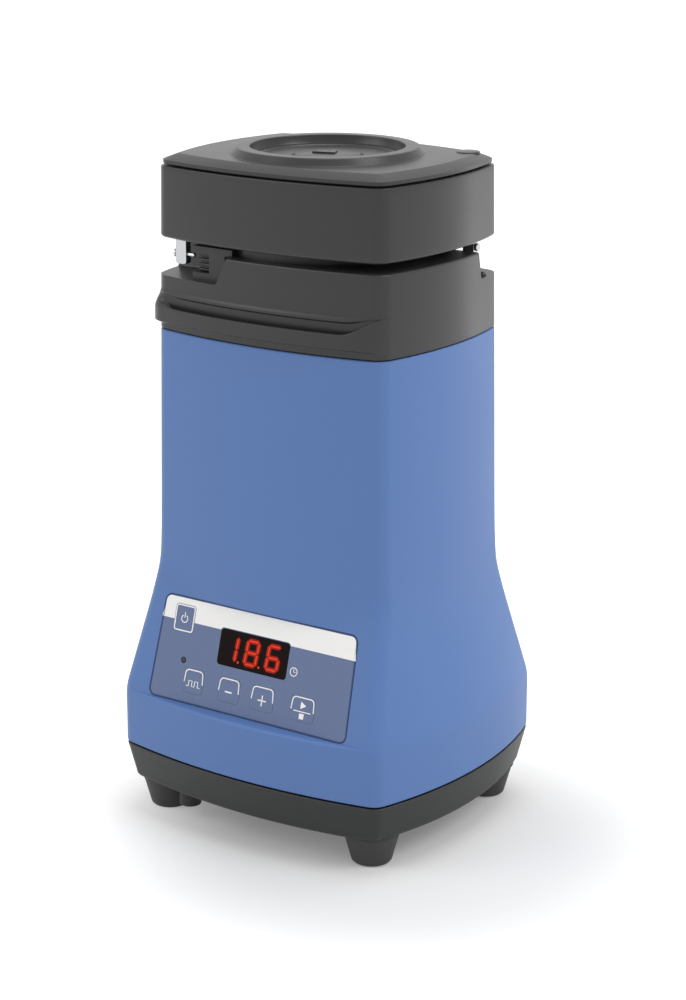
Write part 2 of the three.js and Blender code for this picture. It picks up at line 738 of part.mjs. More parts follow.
// The block behind the bar, with the lip that the pin turns under
const catchX = catchBlock.insetX - wall.halfX;
const catchFaceY = catchBlock.insetY - wall.halfY;
const catchTop = collarTop + catchBlock.rise;
const lipUnder = catchTop - catchBlock.lipThick;
const windowFoot = notchFloor + catchBlock.windowLow;
function catchSolid() {
  const backY = catchFaceY + catchBlock.deep;
  const lipRight = catchBlock.lipFoot - wall.halfX;
  const block = box(catchX, catchX + catchBlock.long, catchFaceY, backY, notchFloor - over, catchTop);
  const lip = box(catchX + catchBlock.lipIn, lipRight, catchFaceY, backY, lipUnder, catchTop);
  return solid(block).add(solid(lip));
}
function catchWindow() {
  const [x1, y1] = [catchX + catchBlock.windowLong, catchFaceY + catchBlock.windowDeep];
  return solid(box(catchX - over, x1, catchFaceY - over, y1, windowFoot, lipUnder));
}

// A stack of ribs on a back plate, set in the catch window
function catchInsert() {
  const [low, high] = [windowFoot + gap, lipUnder - gap];
  const [x0, x1] = [catchX + insert.setback, catchX + catchBlock.windowLong - gap];
  const backY = catchFaceY + catchBlock.windowDeep - gap;
  const pitch = (high - low) / (2 * insertRibs - 1);
  let made = solid(box(x0, x1, backY - insert.back, backY, low, high));
  for (let k = 0; k < insertRibs; k++) {
    const z = low + 2 * k * pitch;
    made = made.add(solid(box(x0, x1, backY - insert.back - insert.ribDeep, backY, z, z + pitch)));
  }
  return made;
}

// Collar: drafted walls under a thick deck, the ledge and its trough, two notches with their
// catches, a spigot that plugs into the housing, and a round neck that carries the chamber
function collarBody() {
  const spigotFoot = wall.topZ - collar.spigot;
  const inward = wall.thick + gap + collar.spigotThick;
  const shell = loft([
    level(wallOutline(collarFoot), collarFoot),
    level(wallOutline(collarTop), collarTop - collar.bevel),
    level(wallOutline(collarTop, -collar.bevel), collarTop),
  ]);
  const spigot = prism(wallOutline(wall.topZ, -wall.thick - gap), spigotFoot, collarFoot + over);
  const hollow = prism(wallOutline(wall.topZ, -inward), spigotFoot - over, deckUnder);
  const rimBand = ledgeStrip(
    (s) => rim.out * s,
    () => -collar.skin,
    () => wall.topZ + rim.lowUp,
    (s) => wall.topZ + mix(rim.tipUp, rim.highUp, s),
  );
  const troughCut = ledgeStrip(
    (s) => (rim.out - trough.wall) * s - (s > 0 ? 0 : gap),
    (s) => -trough.back * s - 2 * gap,
    () => wall.topZ + trough.floorUp,
    () => wall.topZ + trough.creaseUp,
  );
  const [far, high] = [wall.halfX + wall.halfY, collarTop];
  const leftEnd = box(-far, trough.leftIn - wall.halfX, -far, far, collarFoot, high);
  const neckBlock = solid(cylinder(neckRadius, collarTop - over, neckTop));
  const notchFront = notchCut();
  const catchFront = catchSolid();
  const catchCut = catchWindow();
  let body = without(joined(solid(shell), solid(spigot)), solid(hollow));
  body = joined(body.add(rimBand).subtract(troughCut.subtract(solid(leftEnd))), neckBlock);
  body = without(body, notchFront, halfTurned(notchFront));
  body = joined(body, catchFront, halfTurned(catchFront));
  body = without(body, catchCut, halfTurned(catchCut));
  body = body.subtract(solid(cylinder(chamberOuter + gap, wall.topZ, neckTop + over)));
  for (const [sx, sy] of corners) {
    const [x, y] = [sx * column.x, sy * column.y];
    body = body.add(solid(peg(x, y, column.radius, bracketTop + gap, deckUnder + over)));
    const boreTop = bracketTop + motorScrew.length;
    body = body.subtract(solid(peg(x, y, motorScrew.shank + gap, bracketTop, boreTop)));
  }
  body = body.subtract(solid(peg(plungerX, plunger.y, plunger.radius + gap, leverTop, collarTop)));
  return body.subtract(solid(leverAlcove()));
}

// Grinding chamber: a cup whose flange rests on the neck, with a hole for the shaft seal
function grindingChamber() {
  const [floorUnder, flangeFoot] = [chamberFloor - chamber.floor, rimTop - chamber.flangeThick];
  const bore = seal.radius + gap;
  return revolve([
    [bore, floorUnder],
    [chamberOuter - chamber.floor, floorUnder],
    [chamberOuter, floorUnder + chamber.floor],
    [chamberOuter, flangeFoot],
    [chamber.flange, flangeFoot],
    [chamber.flange, rimTop],
    [chamber.radius, rimTop],
    [chamber.radius, chamberFloor + chamber.floor],
    [chamber.radius - chamber.floor, chamberFloor],
    [bore, chamberFloor],
  ]);
}
function shaftSeal() {
  const [bore, flange] = [shaft.radius + gap, seal.radius + seal.flange];
  const shoulder = sealFoot + seal.flange - gap;
  const top = sealFoot + seal.height;
  return revolve([[bore, sealFoot], [flange, sealFoot], [flange, shoulder], [seal.radius, shoulder],
    [seal.radius, top], [bore, top]], midSteps);
}

// Beater blade: a hub and two arms whose ends rise and narrow
function bladeSolid() {
  const bore = shaft.radius + gap;
  const hubTop = bladeFoot + blade.hubHigh;
  const section = [[bore, bladeFoot], [blade.hub, bladeFoot], [blade.hub, hubTop], [bore, hubTop]];
  const hubRing = revolve(section, midSteps);
  const across = (x, z, wide) =>
    [[-wide, 0], [wide, 0], [wide, blade.thick], [-wide, blade.thick]].map(
      ([y, up]) => new THREE.Vector3(x, y / 2, z + up),
    );
  const rings = [
    across(blade.inner, bladeFoot, blade.wide),
    across(blade.bend, bladeFoot, blade.wide),
    across(blade.reach, bladeFoot + blade.rise, blade.tipWide),
  ];
  const faces = [0, 2, 1, 0, 3, 2];
  for (let k = 0; k + 1 < rings.length; k++)
    for (let i = 0; i < 4; i++) {
      const [a, b] = [k * 4 + i, k * 4 + ((i + 1) % 4)];
      faces.push(a, b, b + 4, a, b + 4, a + 4);
    }
  const last = (rings.length - 1) * 4;
  faces.push(last, last + 1, last + 2, last, last + 2, last + 3);
  const arm = solid(surface(rings.flat(), faces));
  return joined(solid(hubRing), arm, halfTurned(arm));
}
function bladeNut() {
  const foot = bladeFoot + blade.hubHigh + gap;
  const top = foot + nut.height;
  const hex = cylinder(nut.across, foot, top, 6);
  const crown = top + nut.dome;
  const [low, r] = [foot + over, nut.shoulder];
  const section = [[0, low], [r, low], [r, top], [nut.crown, crown], [0, crown]];
  const dome = revolve(section, smallSteps);
  const bore = cylinder(shaft.radius + gap, foot - over, shaftHead + gap, midSteps);
  return joined(solid(hex), solid(dome)).subtract(solid(bore));
}

// Lid shell: a deep drafted cap with a hub for the plug's stem and a slotted boss for each bar
function lidShell() {
  const shell = loft([
    level(wallOutline(lidFoot, -lid.bevel), lidFoot),
    level(wallOutline(lidFoot), lidFoot + lid.bevel),
    level(wallOutline(lidTop), lidTop),
  ]);
  const ceiling = lidTop - lid.top;
  const cavity = prism(wallOutline(lidTop, -lid.thick), lidFoot - over, ceiling);
  const inside = prism(wallOutline(lidTop, -lid.thick / 2), lidFoot, lidTop);
  let body = without(solid(shell), solid(cavity));
  body = body.add(solid(cylinder(hub.radius, plugTop + gap, ceiling + over)));
  for (const side of [-1, 1]) {
    const [x, y, w, t] = [side * barX, side * barY, bar.wide / 2, bar.thick / 2];
    const boss = centredBox(x, y, w + bar.boss, t + bar.boss, lidFoot + lid.bevel, ceiling + over);
    const slot = centredBox(x, y, w + gap, t + gap, lidFoot - over, lidFoot + bar.up + gap);
    body = body.add(solid(boss).intersect(solid(inside))).subtract(solid(slot));
  }
  body = body.subtract(solid(cylinder(retainer.radius + gap, stemTop, lidTop + over)));
  return body.subtract(solid(cylinder(plug.stem + gap, lidFoot, lidTop)));
}

// Lid cover: a crowned plate with a raised ring round a dish, and a ringed boss in the dish
function lidCover() {
  const mid = mix(cover.edge, cover.height, cover.midShare);
  const plate = loft([
    level(wallOutline(coverFoot, -cover.inset), coverFoot),
    level(wallOutline(coverFoot, -cover.inset), coverFoot + cover.edge),
    level(wallOutline(coverFoot, -cover.inset - cover.slope / 2), coverFoot + mid),
    level(wallOutline(coverFoot, -cover.inset - cover.slope), coverTop),
  ]);
  const top = coverTop + ring.height;
  const dish = top - ring.dish;
  const sunk = dish - dial.sink;
  const raised = revolve([
    [0, coverFoot],
    [ring.skirt, coverFoot],
    [ring.skirt, coverTop],
    [ring.shoulder, top - ring.edge],
    [ring.land, top],
    [ring.inner, top],
    [ring.inner - ring.draft, dish],
    [dial.outer, dish],
    [dial.outer, sunk],
    [dial.inner, sunk],
    [dial.boss, dish],
    [0, dish],
  ]);
  return solid(plate).subtract(solid(cylinder(ring.inner, sunk, top))).add(solid(raised));
}

// Stainless plug that closes the chamber: a shallow dish under a flange, with a stem into the lid
function lidInsert() {
  const radius = chamber.radius - plug.clearance;
  const flangeFoot = plugTop - plug.flangeThick;
  const low = rimTop - plug.deep;
  const bottom = low + plug.wall;
  const well = stemTop - retainer.screwDeep;
  return revolve([
    [0, bottom],
    [radius - 2 * plug.wall, bottom],
    [radius - plug.wall, low],
    [radius, bottom],
    [radius, flangeFoot],
    [plug.flange, flangeFoot],
    [plug.flange, plugTop],
    [plug.stem, plugTop],
    [plug.stem, stemTop],
    [retainer.screw, stemTop],
    [retainer.screw, well],
    [0, well],
  ]);
}
function lidRetainer() {
  const [low, well, shank] = [stemTop + gap, stemTop - retainer.screwDeep + gap, retainer.screw - gap];
  return revolve([[0, well], [shank, well], [shank, low], [retainer.radius, low],
    [retainer.radius, low + retainer.thick - gap], [0, low + retainer.thick - gap]], midSteps);
}
function lidSealRing() {
  const [low, top] = [rimTop + gap, rimTop + gap + lidSeal.thick];
  return revolve([[lidSeal.inner, low], [lidSeal.outer, low], [lidSeal.outer, top], [lidSeal.inner, top]]);
}

// Lock bar: a flat steel strip with a rounded foot and a cross hole for its pin
function lockBar() {
  const [w, high] = [bar.wide / 2, bar.drop + bar.up];
  const corner = w / 2;
  const shape = new THREE.Shape();
  shape.moveTo(w - corner, 0);
  shape.quadraticCurveTo(w, 0, w, corner);
  shape.lineTo(w, high);
  shape.lineTo(-w, high);
  shape.lineTo(-w, corner);
  shape.quadraticCurveTo(-w, 0, corner - w, 0);
  const settings = { depth: bar.thick, bevelEnabled: false, curveSegments: cornerSteps };
  const strip = new THREE.ExtrudeGeometry(shape, settings);
  strip.translate(0, 0, -bar.thick / 2).rotateX(Math.PI / 2);
  const hole = cylinder(pin.radius + gap / 2, -w - over, w + over, smallSteps).rotateY(Math.PI / 2);
  return solid(strip).subtract(solid(hole.translate(0, 0, pin.up)));
}
// Cross pin of a lock bar: its head is on the outer side, its tip reaches towards the catch
function lockPin() {
  const [w, r] = [bar.wide / 2, pin.radius];
  const profile = [[0, -w - gap - pin.headLong], [pin.head, -w - gap - pin.headLong], [pin.head, -w - gap],
    [r, -w - gap], [r, w + pin.reach], [0, w + pin.reach]];
  return revolve(profile, smallSteps).rotateY(Math.PI / 2).translate(0, 0, pin.up);
}

// Interlock: a sprung plunger through the notch floor, and the switch under the deck
function plungerBody() {
  const foot = plunger.proud - plunger.length;
  const [r, top] = [plunger.radius, plunger.proud];
  return revolve([[0, foot], [r, foot], [r, top - r / 2], [r / 2, top], [0, top]], smallSteps);
}
function interlockSwitch() {
  const { left, wide, height, leverThick, leverHalf } = lockSwitch;
  const [y, top] = [plunger.y, deckUnder - gap];
  const low = top - height;
  const block = box(left, leverEnd, y - wide / 2, y + wide / 2, low, top);
  const inward = wall.thick + collar.spigotThick + 2 * gap;
  const inside = prism(wallOutline(wall.topZ, -inward), low - over, top + over);
  const lever = box(left + over, leverEnd, y - leverHalf, y + leverHalf, leverTop - leverThick, leverTop);
  return solid(block).intersect(solid(inside)).add(solid(lever));
}
// The alcove in the collar wall under the plunger, for the lever of the switch
function leverAlcove() {
  const half = lockSwitch.leverHalf + gap;
  const low = leverTop - lockSwitch.leverThick - gap;
  return box(lockSwitch.left, leverEnd + gap, plunger.y - half, plunger.y + half, low, deckUnder);
}

// Motor pieces that stand still
function bearingRing() {
  const bore = shaft.radius + gap;
  const { radius: r, width: w, lip, lipDeep: d } = bearing;
  return revolve([[bore, 0], [bore + lip, 0], [bore + lip, d], [r - lip, d], [r - lip, 0], [r, 0], [r, w],
    [r - lip, w], [r - lip, w - d], [bore + lip, w - d], [bore + lip, w], [bore, w]], midSteps);
}
function plate(halfX, halfY, corner, z0, z1) {
  return prism(rounded(-halfX, halfX, -halfY, halfY, corner), z0, z1);
}
const seatRadius = bearing.radius + gap;
function topBracket() {
  const [z, high] = [upperBearingZ, bracketTop];
  const under = high - bracket.plate;
  const slab = plate(bracket.plateX, bracket.plateY, bracket.corner, under, high);
  let made = solid(slab).add(solid(cylinder(seatRadius + bracket.wall, z, high, midSteps)));
  for (const [sx, sy] of corners) {
    const leg = peg(sx * stator.bolt, sy * stator.bolt, bracket.leg, armature.highZ + gap, under + over);
    const bore = peg(sx * column.x, sy * column.y, motorScrew.shank + gap, under - over, high + over);
    made = made.add(solid(leg)).subtract(solid(bore));
  }
  made = made.subtract(solid(cylinder(seatRadius, z - over, z + bearing.width + gap, midSteps)));
  return made.subtract(solid(cylinder(shaft.radius + 3 * gap, z, high + over, midSteps)));
}
function bottomBracket() {
  const z = bearing.lowerZ;
  const low = z - gap - bracket.wall;
  const cup = cylinder(seatRadius + bracket.wall, low, z + bearing.width, midSteps);
  let made = solid(cup);
  for (const [sx, sy] of corners) {
    const [x, y] = [sx * stator.bolt, sy * stator.bolt];
    const beam = box(0, Math.hypot(x, y), -bracket.web / 2, bracket.web / 2, low, low + bracket.plate);
    made = made.add(solid(beam.rotateZ(Math.atan2(y, x))));
    made = made.add(solid(peg(x, y, bracket.leg, low, armature.lowZ - gap)));
  }
  const shelfTop = brushZ - brush.high - brush.wall - gap;
  const wide = brush.half + brush.wall;
  const shelf = solid(box(seatRadius + over, brush.shelf, -wide, wide, low, shelfTop));
  made = joined(made, shelf, halfTurned(shelf));
  made = made.subtract(solid(cylinder(seatRadius, z - gap, z + bearing.width + over, midSteps)));
  return made.subtract(solid(cylinder(shaft.radius + 3 * gap, low - over, z, midSteps)));
}
function brushHolder() {
  const [x0, h, v] = [commutator.radius + brush.stub, brush.half, brush.high];
  const [centre, half, outer] = [x0 + brush.holder / 2, brush.holder / 2, v + brush.wall];
  const tube = centredBox(centre, 0, half, h + brush.wall, -outer, outer);
  const bore = centredBox(centre, 0, brush.holder, h + gap, -v - gap, v + gap);
  return solid(tube).subtract(solid(bore));
}
function carbonBrush() {
  const x0 = commutator.radius + brush.inner;
  return box(x0, x0 + brush.length, -brush.half, brush.half, -brush.high, brush.high);
}

// Stator: a laminated block with a round bore and a slot at each corner for the field coils
function statorCore() {
  const [low, high] = [armature.lowZ, armature.highZ];
  const block = plate(stator.half, stator.half, stator.corner, low, high);
  const bore = cylinder(armature.radius + stator.air, low - over, high + over);
  let made = solid(block).subtract(solid(bore));
  const [centre, half] = [(stator.slotIn + stator.slotOut) / 2, (stator.slotOut - stator.slotIn) / 2];
  for (const [sx, sy] of corners)
    made = made.subtract(solid(centredBox(sx * centre, sy * centre, half, half, low - over, high + over)));
  return made;
}
// Field coil: two legs in the slots and a curved head over each end of the stator
function fieldCoil() {
  const [low, high] = [armature.lowZ - gap - coil.high, armature.highZ + gap + coil.high];
  const [centre, half] = [(stator.slotIn + stator.slotOut) / 2, (stator.slotOut - stator.slotIn) / 2 - gap];
  const legs = [-1, 1].map((sy) => solid(centredBox(centre, sy * centre, half, half, low, high)));
  const shape = new THREE.Shape();
  shape.absarc(0, 0, coil.outer, -coil.turn, coil.turn, false);
  shape.absarc(0, 0, coil.inner, coil.turn, -coil.turn, true);
  const settings = { depth: coil.high, bevelEnabled: false, curveSegments: sideSteps };
  const heads = [low, armature.highZ + gap].map((z) =>
    solid(new THREE.ExtrudeGeometry(shape, settings).translate(0, 0, z)),
  );
  return joined(...legs, ...heads);
}

// Rotor pieces
const motorShaft = () => cylinder(shaft.radius, shaft.footZ, shaftHead, midSteps);
function armatureCore() {
  const { radius, lowZ, highZ, coil: r, coilHigh } = armature;
  const low = lowZ - coilHigh;
  const top = highZ + coilHigh;
  let made = solid(cylinder(radius, lowZ, highZ)).add(solid(cylinder(r, low, top, midSteps)));
  for (let k = 0; k < armatureSlots; k++) {
    const [inner, half] = [radius - armature.slotDeep, armature.slotWide / 2];
    const slot = box(inner, radius + over, -half, half, lowZ - over, highZ + over);
    const cut = solid(slot.rotateZ((k * 2 * Math.PI) / armatureSlots));
    made = made.subtract(cut.subtract(solid(cylinder(r, low - over, top + over, midSteps))));
  }
  return made.subtract(solid(cylinder(shaft.radius + gap, low - over, top + over, midSteps)));
}
function commutatorDrum() {
  const c = commutator;
  const shoulder = c.highZ - c.riserHigh;
  const bore = shaft.radius + gap;
  const drum = revolve([
    [bore, c.lowZ],
    [c.radius, c.lowZ],
    [c.radius, shoulder],
    [c.riserRadius, shoulder],
    [c.riserRadius, c.highZ],
    [bore, c.highZ],
  ]);
  let made = solid(drum);
  for (let k = 0; k < armatureSlots; k++) {
    const [inner, half] = [c.radius - c.grooveDeep, c.groove / 2];
    const cut = box(inner, c.riserRadius + over, -half, half, c.lowZ - over, c.highZ + over);
    made = made.subtract(solid(cut.rotateZ((k * 2 * Math.PI) / armatureSlots)));
  }
  return made;
}
function coolingFan() {
  const { radius, hub: hubRadius, lowZ, highZ } = fan;
  const deck = lowZ + fan.plate;
  let made = solid(revolve([[shaft.radius + gap, lowZ], [radius, lowZ], [radius, deck], [hubRadius, deck],
    [hubRadius, highZ], [shaft.radius + gap, highZ]]));
  for (let k = 0; k < fanBlades; k++) {
    const vane = box(hubRadius - over, radius - over, -fan.bladeThick / 2, fan.bladeThick / 2, lowZ, highZ);
    made = made.add(solid(vane.rotateZ((k * 2 * Math.PI) / fanBlades)));
  }
  return made;
}

// Assembly
const mill = new THREE.Group();
const frontPanel = new THREE.Group();
frontPanel.applyMatrix4(front);
const rearPanel = new THREE.Group();
rearPanel.applyMatrix4(rear);
mill.add(frontPanel, rearPanel);

function place(name, shape, material, { x = 0, y = 0, z = 0, turn = 0, group = mill } = {}) {
  const geometry = geometryOf(shape.isBufferGeometry ? solid(shape) : shape);
  const mesh = new THREE.Mesh(geometry, material);
  mesh.name = name;
  mesh.position.set(x, y, z);
  mesh.rotation.z = turn;
  group.add(mesh);
}

place("base_pan", basePan(), basePlastic);
place("base_lug", baseLug(), basePlastic, { x: -lugX, y: -lugY });
corners.forEach(([sx, sy], k) => {
  const at = { x: sx * feetX, y: sy * feetY };
  place(`foot_${k + 1}`, foot(), rubber, at);
  place(`foot_screw_${k + 1}`, screw(footScrew), steel, { ...at, z: feet.recess });
  const screwZ = bracketTop - bracket.plate - gap - motorScrew.headHeight;
  place(`motor_screw_${k + 1}`, screw(motorScrew), steel, { x: sx * column.x, y: sy * column.y, z: screwZ });
});
place("housing_shell", housingShell(), blue);
place("power_board", powerBoard(), boardGreen);

place("panel_foil", panelFoil(), foilBlue, { group: frontPanel });
place("display_window", pane(), smoked, { group: frontPanel });
place("display_module", displayModule(), redLight, { group: frontPanel });
place("status_led", statusLed(), redLight, { x: led.u, y: led.v, group: frontPanel });
place("control_board", controlBoard(), boardGreen, { group: frontPanel });
for (const [name, hole] of Object.entries(keys)) place(name, keyCap(hole), foilBlue, { group: frontPanel });
place("mains_inlet", mainsInlet(), moulded, { y: inlet.centreV, group: rearPanel });

place("collar", collarBody(), darkPlastic);
place("interlock_plunger", plungerBody(), moulded, { x: plungerX, y: plunger.y, z: notchFloor });
place("interlock_switch", interlockSwitch(), moulded);
place("grinding_chamber", grindingChamber(), steel);
place("shaft_seal", shaftSeal(), silicone);

place("motor_top_bracket", topBracket(), zincCast);
place("motor_bottom_bracket", bottomBracket(), zincCast);
place("bearing_upper", bearingRing(), steel, { z: upperBearingZ });
place("bearing_lower", bearingRing(), steel, { z: bearing.lowerZ });
place("stator_core", statorCore(), laminated);
place("motor_shaft", motorShaft(), steel);
place("armature_core", armatureCore(), copper);
place("commutator", commutatorDrum(), copper);
place("cooling_fan", coolingFan(), moulded);
place("blade", bladeSolid(), steel);
place("blade_nut", bladeNut(), steel);

place("lid_insert", lidInsert(), steel);
place("lid_seal", lidSealRing(), silicone);
place("lid_retainer", lidRetainer(), steel);
place("lid_shell", lidShell(), darkPlastic);
place("lid_cover", lidCover(), darkPlastic);

["left", "right"].forEach((side, k) => {
  const turn = k * Math.PI;
  const sign = k ? 1 : -1;
  const barAt = { x: sign * barX, y: sign * barY, z: barFoot, turn };
  place(`field_coil_${side}`, fieldCoil(), copper, { turn: Math.PI - turn });
  place(`brush_holder_${side}`, brushHolder(), moulded, { z: brushZ, turn: Math.PI - turn });
  place(`carbon_brush_${side}`, carbonBrush(), carbon, { z: brushZ, turn: Math.PI - turn });
  place(`catch_insert_${side}`, catchInsert(), moulded, { turn });
  place(`lock_bar_${side}`, lockBar(), steel, barAt);
  place(`lock_pin_${side}`, lockPin(), steel, barAt);
});

export default mill;
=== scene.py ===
# %% [markdown]
# # A bench-top analytical mill
# A mill of this kind cuts a dry sample in a small steel chamber. A tapered blue housing holds the
# motor, a dark collar on top carries the chamber, and a heavy lid closes it with two steel bars.
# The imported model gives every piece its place. This script adds the finer surfaces and finishes.

# %% Load the frame
import json
import math

import bmesh
import bpy
from mathutils import Matrix, Vector


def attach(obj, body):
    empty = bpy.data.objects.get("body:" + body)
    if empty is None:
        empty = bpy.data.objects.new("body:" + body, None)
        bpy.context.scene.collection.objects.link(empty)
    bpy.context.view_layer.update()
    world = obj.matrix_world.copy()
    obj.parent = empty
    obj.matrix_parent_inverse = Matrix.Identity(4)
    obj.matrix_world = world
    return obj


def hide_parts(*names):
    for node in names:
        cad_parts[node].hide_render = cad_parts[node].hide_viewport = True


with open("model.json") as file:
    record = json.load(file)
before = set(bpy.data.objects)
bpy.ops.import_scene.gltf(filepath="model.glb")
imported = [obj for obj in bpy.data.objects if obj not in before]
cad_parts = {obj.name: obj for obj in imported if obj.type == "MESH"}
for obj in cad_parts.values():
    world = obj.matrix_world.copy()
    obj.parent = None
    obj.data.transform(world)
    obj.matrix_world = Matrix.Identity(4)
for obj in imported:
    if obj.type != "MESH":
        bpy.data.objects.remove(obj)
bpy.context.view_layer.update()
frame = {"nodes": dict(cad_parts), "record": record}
nodes = frame["nodes"]
MM = 0.001
bpy.ops.object.select_all(action="DESELECT")

# %% [markdown]
# ## The camera
# The photograph was taken from the front right, a little above the lid, with a long lens. The
# camera could be placed by eye, but then nothing could be measured against the photograph. So its
# place was worked out from the edges of the base, the housing and the lid, which give the tilt too.

# %% Camera
TURN, PITCH = math.radians(35.001), math.radians(16.239)
bpy.ops.object.camera_add(location=(0.48953, -0.68993, 0.36052),
                          rotation=(math.pi / 2 - PITCH, 0, TURN))
camera = bpy.context.object
camera.data.sensor_width = 36
camera.data.lens = 88.73
camera.data.clip_start = 0.01
bpy.context.scene.camera = camera
bpy.context.scene.view_settings.view_transform = "Standard"
print("camera at", [round(c, 3) for c in camera.location])

# %% [markdown]
# ## Small tools
# Most shells of this mill are outlines that change a little with height. They could be scaled
# cubes with many loops, but the bowed sides would then drift apart where two shells meet. So a
# circle is put on the outline, and in edit mode its edge is extruded from level to level, each time
# onto the next outline. A number kept on each vertex says which point of the outline it belongs to.

# %% Selecting and joining
def rest():
    if bpy.context.mode != "OBJECT":
        bpy.ops.object.mode_set(mode="OBJECT")
    bpy.ops.object.select_all(action="DESELECT")


def pick(piece):
    rest()
    piece.select_set(True)
    bpy.context.view_layer.objects.active = piece
    return piece


def edit(piece, select="SELECT"):
    pick(piece)
    bpy.ops.object.mode_set(mode="EDIT")
    bpy.ops.mesh.select_all(action=select)


# %% A ring of points, and a shell grown from it
WELD = 0.002  # points closer than this, in millimetres, become one


def ring(name, points):
    rest()
    bpy.ops.mesh.primitive_circle_add(vertices=len(points), radius=0.01)
    piece = bpy.context.object
    piece.name = name
    order = piece.data.attributes.new("place", "INT", "POINT")
    for k, (vertex, point) in enumerate(zip(piece.data.vertices, points)):
        vertex.co = Vector(point) * MM
        order.data[k].value = k
    return piece


def grown(name, levels):
    piece = ring(name, levels[0])
    edit(piece)
    bpy.ops.mesh.edge_face_add()
    for points in levels[1:]:
        bpy.ops.mesh.extrude_region_move()
        mesh = bmesh.from_edit_mesh(piece.data)
        place = mesh.verts.layers.int["place"]
        for vertex in mesh.verts:
            if vertex.select:
                vertex.co = Vector(points[vertex[place]]) * MM
        bmesh.update_edit_mesh(piece.data)
    bpy.ops.mesh.select_all(action="SELECT")
    bpy.ops.mesh.remove_doubles(threshold=WELD * MM)
    bpy.ops.mesh.normals_make_consistent(inside=False)
    rest()
    return piece


# %% A body turned about an upright axis
def turned(name, profile, steps=96):
    piece = ring(name, [(r, 0, z) for r, z in profile])
    edit(piece)
    bpy.ops.mesh.spin(steps=steps, angle=2 * math.pi, center=(0, 0, 0), axis=(0, 0, 1))
    bpy.ops.mesh.select_all(action="SELECT")
    bpy.ops.mesh.remove_doubles(threshold=WELD * MM)
    bpy.ops.mesh.delete_loose(use_verts=True, use_edges=True, use_faces=False)
    bpy.ops.mesh.select_all(action="SELECT")
    bpy.ops.mesh.normals_make_consistent(inside=False)
    rest()
    return piece


# %% A flat outline with a thickness, and a plain block
def slab(name, points, low, high):
    piece = ring(name, [(p[0], p[1], low) for p in points])
    edit(piece)
    bpy.ops.mesh.edge_face_add()
    bpy.ops.mesh.extrude_region_move(TRANSFORM_OT_translate={"value": (0, 0, (high - low) * MM)})
    bpy.ops.mesh.select_all(action="SELECT")
    bpy.ops.mesh.normals_make_consistent(inside=False)
    rest()
    return piece


def block(name, x0, x1, y0, y1, z0, z1):
    rest()
    middle = Vector(((x0 + x1) / 2, (y0 + y1) / 2, (z0 + z1) / 2)) * MM
    bpy.ops.mesh.primitive_cube_add(size=1, location=middle)
    piece = bpy.context.object
    piece.name = name
    piece.scale = Vector((x1 - x0, y1 - y0, z1 - z0)) * MM
    bpy.ops.object.transform_apply(location=True, rotation=True, scale=True)
    rest()
    return piece


# %% Placing a piece in its own mesh, and copying it
def moved(piece, matrix):
    piece.data.transform(matrix)
    return piece


def shifted(x, y, z=0):
    return Matrix.Translation(Vector((x, y, z)) * MM)


def copied(piece, name, matrix=None):
    twin = piece.copy()
    twin.data = piece.data.copy()
    twin.name = name
    bpy.context.scene.collection.objects.link(twin)
    return moved(twin, matrix) if matrix else twin


# %% Cutting, joining and softening with modifiers
def apply(piece, modifier):
    pick(piece)
    bpy.ops.object.modifier_apply(modifier=modifier.name)
    rest()


def carve(piece, tool, how="DIFFERENCE"):
    cut = piece.modifiers.new("carve", "BOOLEAN")
    cut.operation, cut.object, cut.solver = how, tool, "EXACT"
    apply(piece, cut)
    bpy.data.objects.remove(tool, do_unlink=True)
    return piece


def soften(piece, width, segments, sharp):
    bevel = piece.modifiers.new("soften", "BEVEL")
    bevel.width, bevel.segments = width * MM, segments
    bevel.limit_method, bevel.angle_limit = "ANGLE", math.radians(sharp)
    apply(piece, bevel)
    smooth(piece)
    weights = piece.modifiers.new("flat sides stay flat", "WEIGHTED_NORMAL")
    weights.keep_sharp = True
    apply(piece, weights)
    return piece


def smooth(piece, sharp=32):
    """Edges sharper than this many degrees stay crisp."""
    pick(piece)
    bpy.ops.object.shade_smooth_by_angle(angle=math.radians(sharp))
    rest()
    return piece


def finished(piece, body, material, replaces=None):
    piece.data.materials.clear()
    piece.data.materials.append(material)
    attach(piece, body)
    if replaces:
        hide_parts(replaces)
    print(piece.name, len(piece.data.polygons), "faces")
    return piece


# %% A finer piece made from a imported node: its loose triangles are merged first
def from_node(name, node, width, segments, sharp):
    rest()
    source = nodes[node]
    twin = bpy.data.objects.new(name, source.data.copy())
    bpy.context.scene.collection.objects.link(twin)
    edit(twin)
    bpy.ops.mesh.remove_doubles(threshold=0.003 * MM)
    bpy.ops.mesh.dissolve_limited(angle_limit=math.radians(1))
    rest()
    return soften(twin, width, segments, sharp)


# %% [markdown]
# ## Finishes
# Every plastic here is moulded with a fine grain. A plain colour would look like a drawing, so
# each finish starts from one recipe: a noise at the size of the grain drives a slight bump and
# varies the colour, and a broader noise varies the roughness. Drawn out along one axis, the same
# noise gives the marks of a lathe. All patterns read Object coordinates in metres, so they stay
# put when a piece moves.

# %% A recipe for moulded and turned surfaces
BROAD, RELIEF, SPREAD = 35, 0.0002, 0.04


